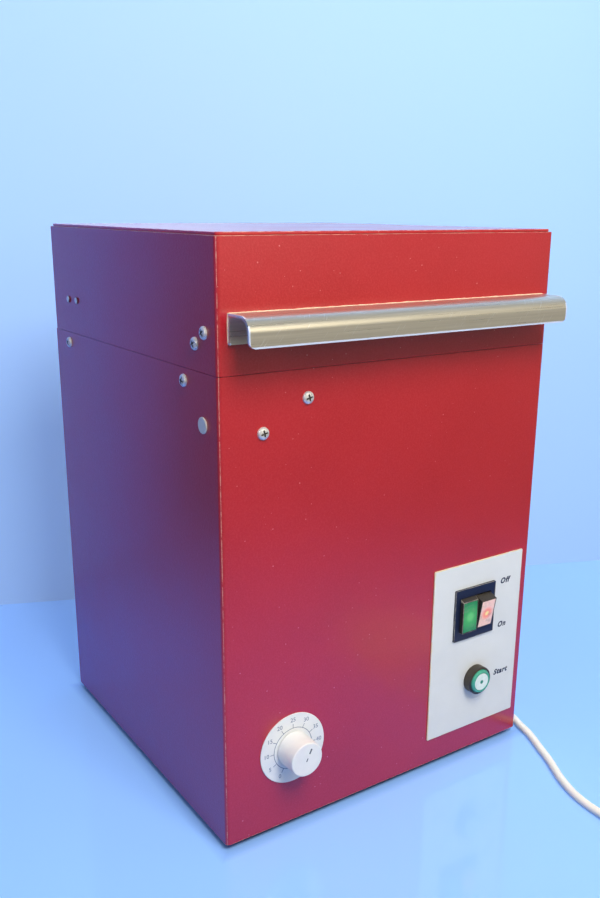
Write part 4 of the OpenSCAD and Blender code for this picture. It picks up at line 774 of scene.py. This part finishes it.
sealant = grained("old_cream_sealant", {"IOR": 1.45},
                  "#c9a27c", "#efe3c6", 2.5 * MM, (0.5, 0.8), 0.1 * MM)
BEAD_IN, BEAD_END = 0.1 * MM, 1 * MM
bead_y, bead_z = pull_high.y - BEAD_IN, pull_low.z + BEAD_END
bead_mesh = bpy.data.meshes.new("pull_sealant")
bead_mesh.from_pydata([(pull_low.x, bead_y, bead_z), (pull_low.x, bead_y, pull_high.z),
                       (pull_high.x, bead_y, pull_high.z), (pull_high.x, bead_y, bead_z)],
                      [(0, 1), (1, 2), (2, 3)], [])
pull_sealant = put("pull_sealant", bead_mesh)
nodes_modifier(pull_sealant, bead_tree, **{
    "Bead radius": 0.25 * MM, "Point spacing": 1.2 * MM, "Raggedness": 2.4, "Sealant": sealant})
settle(pull_sealant, sealant, "lid", "pull_aluminium")


# Lid stay and catch hook: zinc-plated flat steel on two shouldered rivets and two pan head screws,
# which show on the lid's left side. The rivets are painted over and rubbed bare on their crowns.
rivet_crown, BARE_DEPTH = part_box("stay_rivets")[0].x, 0.4 * MM
rivet_paint, tree, shader = new_finish("rubbed_rivet", {"Roughness": 0.35, "Metallic": 0.4})
depth = add(tree, "ShaderNodeSeparateXYZ", {"Vector": place_on(tree)}).outputs["X"]
limit = ramp(tree, noise(tree, 2 * MM, 3), NOISE_LOW, NOISE_HIGH,
             rivet_crown, rivet_crown + BARE_DEPTH)
tone = mix(tree, calc(tree, "LESS_THAN", depth, limit), "#5c1a22", "#efe9dc")
tree.links.new(tone, shader.inputs["Base Color"])
eased("lid_stay", zinc, 0.3 * MM)
eased("stay_rivets", rivet_paint, 0.6 * MM, 3)
eased("catch_hook", zinc, 0.3 * MM)
screws("catch_screws", seed=13)
bpy.data.objects.remove(pan_screw)


# Cord entry: a black moulded gland with its nut inside the rear panel, and a tapered strain relief
# round the cord.
eased("cord_gland", black_plastic, 0.5 * MM)
eased("gland_nut", black_plastic, 0.4 * MM)


# Mains cord: 6 mm white PVC lead. It leaves the gland, drops to the floor, runs along the right
# side and past the front corner, and the rest lies in a tied coil with its moulded plug.
CORD_R = 3 * MM
cord_pvc = grained("white_cord_pvc", {"IOR": 1.5, "Subsurface Weight": 0.05},
                   "#fbf4df", "#fffdf3", 12 * MM, (0.38, 0.5))
# the route and the coil in millimetres, the coil's length in turns
route = [(84.5, 133, 43), (84.5, 147, 43), (84.5, 163, 43), (84.5, 175, 42.5), (90.5, 193, 37),
         (104.5, 207, 27), (124.5, 210, 15), (143.5, 198, 7), (152.5, 175, 3), (154.5, 139, 3),
         (153.5, 73, 3), (152.5, 13, 3), (153.5, -47, 3), (153.5, -89, 3), (150.5, -119, 3),
         (145, -138.5, 3), (140.5, -154, 3), (132.5, -172, 3), (125.5, -188, 3),
         (115.5, -207, 3), (109.5, -222, 3), (106.5, -234, 3), (105, -246, 3.2),
         (104.5, -264, 3.8), (104.5, -284, 4.4), (104.5, -303, 4.4)]
COIL = Vector((147.5, -309, 4.4))
COIL_R, COIL_PITCH, COIL_RISE, PER_TURN = 43, 7.4, 7, 24
SPIRAL, CLIMB, TAIL = 2.5, 0.5, (6, 20, 40)
turns = 2 * SPIRAL + CLIMB
points = [Vector(p) for p in route]
for i in range(int(turns * PER_TURN) + 1):
    t = i / PER_TURN
    inward = min(t, SPIRAL, turns - t)
    angle = math.pi + 2 * math.pi * t
    lift = COIL_RISE * min(1, max(0, (t - SPIRAL) / CLIMB))
    radius = COIL_R - COIL_PITCH * inward
    points.append(COIL + Vector((radius * math.cos(angle), radius * math.sin(angle), lift)))
points += [points[-1] + Vector((0, y, 0)) for y in TAIL]
points = [p * MM for p in points]
cord_line = bpy.data.curves.new("mains_cord", "CURVE")
cord_line.dimensions = "3D"
cord_line.bevel_depth = CORD_R
cord_line.bevel_resolution = 4
cord_line.resolution_u = 5
cord_line.use_fill_caps = True
spline = cord_line.splines.new("BEZIER")
spline.bezier_points.add(len(points) - 1)
for i, knot in enumerate(spline.bezier_points):
    # handles a sixth of the way between the neighbours make a smooth curve through the points
    lean = (points[min(i + 1, len(points) - 1)] - points[max(i - 1, 0)]) / 6
    knot.co = points[i]
    knot.handle_left, knot.handle_right = points[i] - lean, points[i] + lean
    for handle in (knot.handle_left, knot.handle_right):
        handle.z = max(handle.z, CORD_R)
mains_cord = put("mains_cord", cord_line)
cord_line.materials.append(cord_pvc)
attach(mains_cord, "cabinet")
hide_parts("cord_run", "cord_coil")
tie = eased("cord_tie", cord_pvc, 0.3 * MM)
plug = eased("mains_plug", cord_pvc, 3 * MM, 4)
pins = eased("plug_pins", nickel, 0.8 * MM, 3)


# Bench and wall: a polished pale blue bench top that mirrors the cabinet, against a pale blue wall
# that runs behind it at an angle. The wall shows from its front only.
def stage_sheet(name, corners, material):
    """One flat sheet of the studio."""
    mesh = bpy.data.meshes.new(name)
    mesh.from_pydata(corners, [], [range(len(corners))])
    mesh.materials.append(material)
    obj = put(name, mesh)
    return obj


def brighten(tree, shader, colour, share):
    """Colours a studio sheet and adds a share of that colour where it is seen or mirrored."""
    for socket in ("Base Color", "Emission Color"):
        tree.links.new(colour, shader.inputs[socket])
    path = add(tree, "ShaderNodeLightPath").outputs
    seen = calc(tree, "MAXIMUM", path["Is Camera Ray"], path["Is Glossy Ray"])
    tree.links.new(calc(tree, "MULTIPLY", seen, share), shader.inputs["Emission Strength"])


bench_top, tree, shader = new_finish("pale_blue_bench", {"Roughness": 0.08, "IOR": 1.5})
# what the cabinet mirrors: deep blue near it, and a dim warm room past the bench's front edge
NEAR, PAST = 0.3, 0.75
spot = add(tree, "ShaderNodeNewGeometry").outputs["Position"]
reach = add(tree, "ShaderNodeVectorMath", {"Vector": spot}, operation="LENGTH")
past = ramp(tree, reach.outputs["Value"], NEAR, PAST)
mirrored = mix(tree, past, "#5488ee", "#3d3a34")
glossy_ray = add(tree, "ShaderNodeLightPath").outputs["Is Glossy Ray"]
top = mix(tree, glossy_ray, "#8ab6f2", mirrored)
# close to the cabinet the bench keeps its shadow, and far from it it stays pale
SHADE_IN, SHADE_OUT, BENCH_GLOW, FAR_GLOW = 4 * MM, 9 * MM, 0.44, 0.2
x, y = room_inside(tree, spot, case_low, case_high)[:2]
glow = ramp(tree, calc(tree, "MINIMUM", x, y), SHADE_IN, -SHADE_OUT, 0, BENCH_GLOW)
brighten(tree, shader, top, calc(tree, "MULTIPLY_ADD", past, FAR_GLOW, glow))
BENCH_HALF = 4
corners = [(x * BENCH_HALF, y * BENCH_HALF, 0) for x, y in ((-1, -1), (1, -1), (1, 1), (-1, 1))]
bench = stage_sheet("bench", corners, bench_top)
wall_paint, tree, shader = new_finish("pale_blue_wall", {"Roughness": 0.6})
# to the left, where only the cabinet's side mirrors it, the wall goes over to deep blue
PALE_X, DEEP_X, WALL_GLOW = 0.05, -0.3, 0.3
spot = add(tree, "ShaderNodeNewGeometry").outputs
across = add(tree, "ShaderNodeSeparateXYZ", {"Vector": spot["Position"]}).outputs["X"]
glossy_ray = add(tree, "ShaderNodeLightPath").outputs["Is Glossy Ray"]
deep = calc(tree, "MULTIPLY", ramp(tree, across, PALE_X, DEEP_X), glossy_ray)
brighten(tree, shader, mix(tree, deep, "#a3c9f8", "#4f86ee"), WALL_GLOW)
clear = add(tree, "ShaderNodeBsdfTransparent").outputs[0]
one_side = add(tree, "ShaderNodeMixShader",
               {"Fac": spot["Backfacing"], "Shader": shader.outputs[0], "Shader_001": clear})
tree.links.new(one_side.outputs[0], tree.nodes["Material Output"].inputs["Surface"])
# two points of the wall's foot, how far it runs past them, and its height
left, right = Vector((-146, 352, 0)) * MM, Vector((518, 80, 0)) * MM
RUN_LEFT, RUN_RIGHT, WALL_H = 0.25, 2.5, 3
along = (right - left).normalized()
foot = [left - RUN_LEFT * along, right + RUN_RIGHT * along]
backdrop = stage_sheet("wall", [foot[0], foot[1], foot[1] + WALL_H * up, foot[0] + WALL_H * up],
                       wall_paint)
backdrop.visible_shadow = False


# Light: a soft lamp before and above the front, the only one that lights the bench, a weaker one
# behind and two small ones for the sparkle. The room is pale overhead, cream before the object and
# blue beside and behind it.
all_but_bench = bpy.data.collections.new("all_but_bench")
all_but_bench.objects.link(bench)
all_but_bench.collection_objects[0].light_linking.link_state = "EXCLUDE"


def soft_lamp(name, place, target, size, watts, colour, mirrored=True):
    """Square area lamp at a place, turned to a target. A lamp that bright metal mirrors doesn't light
    the bench, and the other way round."""
    data = bpy.data.lights.new(name, "AREA")
    data.size, data.energy, data.color = size, watts, linear(colour)[:3]
    lamp = put(name, data)
    lamp.visible_camera = False
    lamp.visible_glossy = mirrored
    lamp.light_linking.receiver_collection = all_but_bench if mirrored else None
    lamp.location = place
    lamp.rotation_euler = (Vector(target) - Vector(place)).to_track_quat("-Z", "Y").to_euler()


soft_lamp("key", (-0.12, -0.85, 1.12), (0, 0, 0.25), 0.5, 15, "#fff8ee", mirrored=False)
soft_lamp("spark", (0.35, -1.2, 0.7), (0, 0, 0.3), 0.55, 1.9, "#fff6e2")
soft_lamp("rear", (0.25, 1.2, 0.9), (0, 0, 0.25), 0.6, 5, "#f2f6ff")
soft_lamp("side_spark", (-0.95, -0.55, 0.75), (0, 0, 0.25), 0.25, 1.2, "#fff6e8")
ROOM_FRONT, ROOM_LEVEL = (0.6, -0.8, 0), 0.55
world = bpy.data.worlds.new("studio")
world.use_nodes = True
bpy.context.scene.world = world
tree = world.node_tree
background = tree.nodes["Background"].inputs
toward = add(tree, "ShaderNodeTexCoord").outputs["Generated"]
facing = add(tree, "ShaderNodeVectorMath",
             {"Vector": toward, "Vector_001": ROOM_FRONT}, operation="DOT_PRODUCT")
sides = mix(tree, ramp(tree, facing.outputs["Value"], -0.2, 0.5), "#5989f3", "#ddd6c4")
height = add(tree, "ShaderNodeSeparateXYZ", {"Vector": toward}).outputs["Z"]
sky = mix(tree, ramp(tree, height, 0.35, 0.9), sides, "#bcc8d6")
# a camera that looks past bench and wall sees a plain pale room
camera_ray = add(tree, "ShaderNodeLightPath").outputs["Is Camera Ray"]
tree.links.new(mix(tree, camera_ray, sky, "#dfeafa"), background["Color"])
tree.links.new(ramp(tree, camera_ray, 0, 1, ROOM_LEVEL, 1), background["Strength"])


# Camera: fitted to the cabinet's corners in the photograph. It is given by the place of its eye and
# by its three axes.
camera_data = bpy.data.cameras.new("camera")
camera_data.sensor_width = 36
camera_data.lens = 36.93
camera_data.shift_x, camera_data.shift_y = -0.00726, 0.02913
camera = put("camera", camera_data)
ahead = Vector((0.53949, 0.79471, -0.27819))
side = Vector((0.82852, -0.55992, 0.00723))
above = Vector((0.15002, 0.23438, 0.96050))
eye = Vector((-0.39135, -0.60525, 0.41985))
camera.matrix_world = Matrix([(*row, c) for row, c in zip(zip(side, above, -ahead), eye)]
                             + [(0, 0, 0, 1)])
bpy.context.scene.camera = camera
bpy.context.scene.view_settings.view_transform = "Standard"
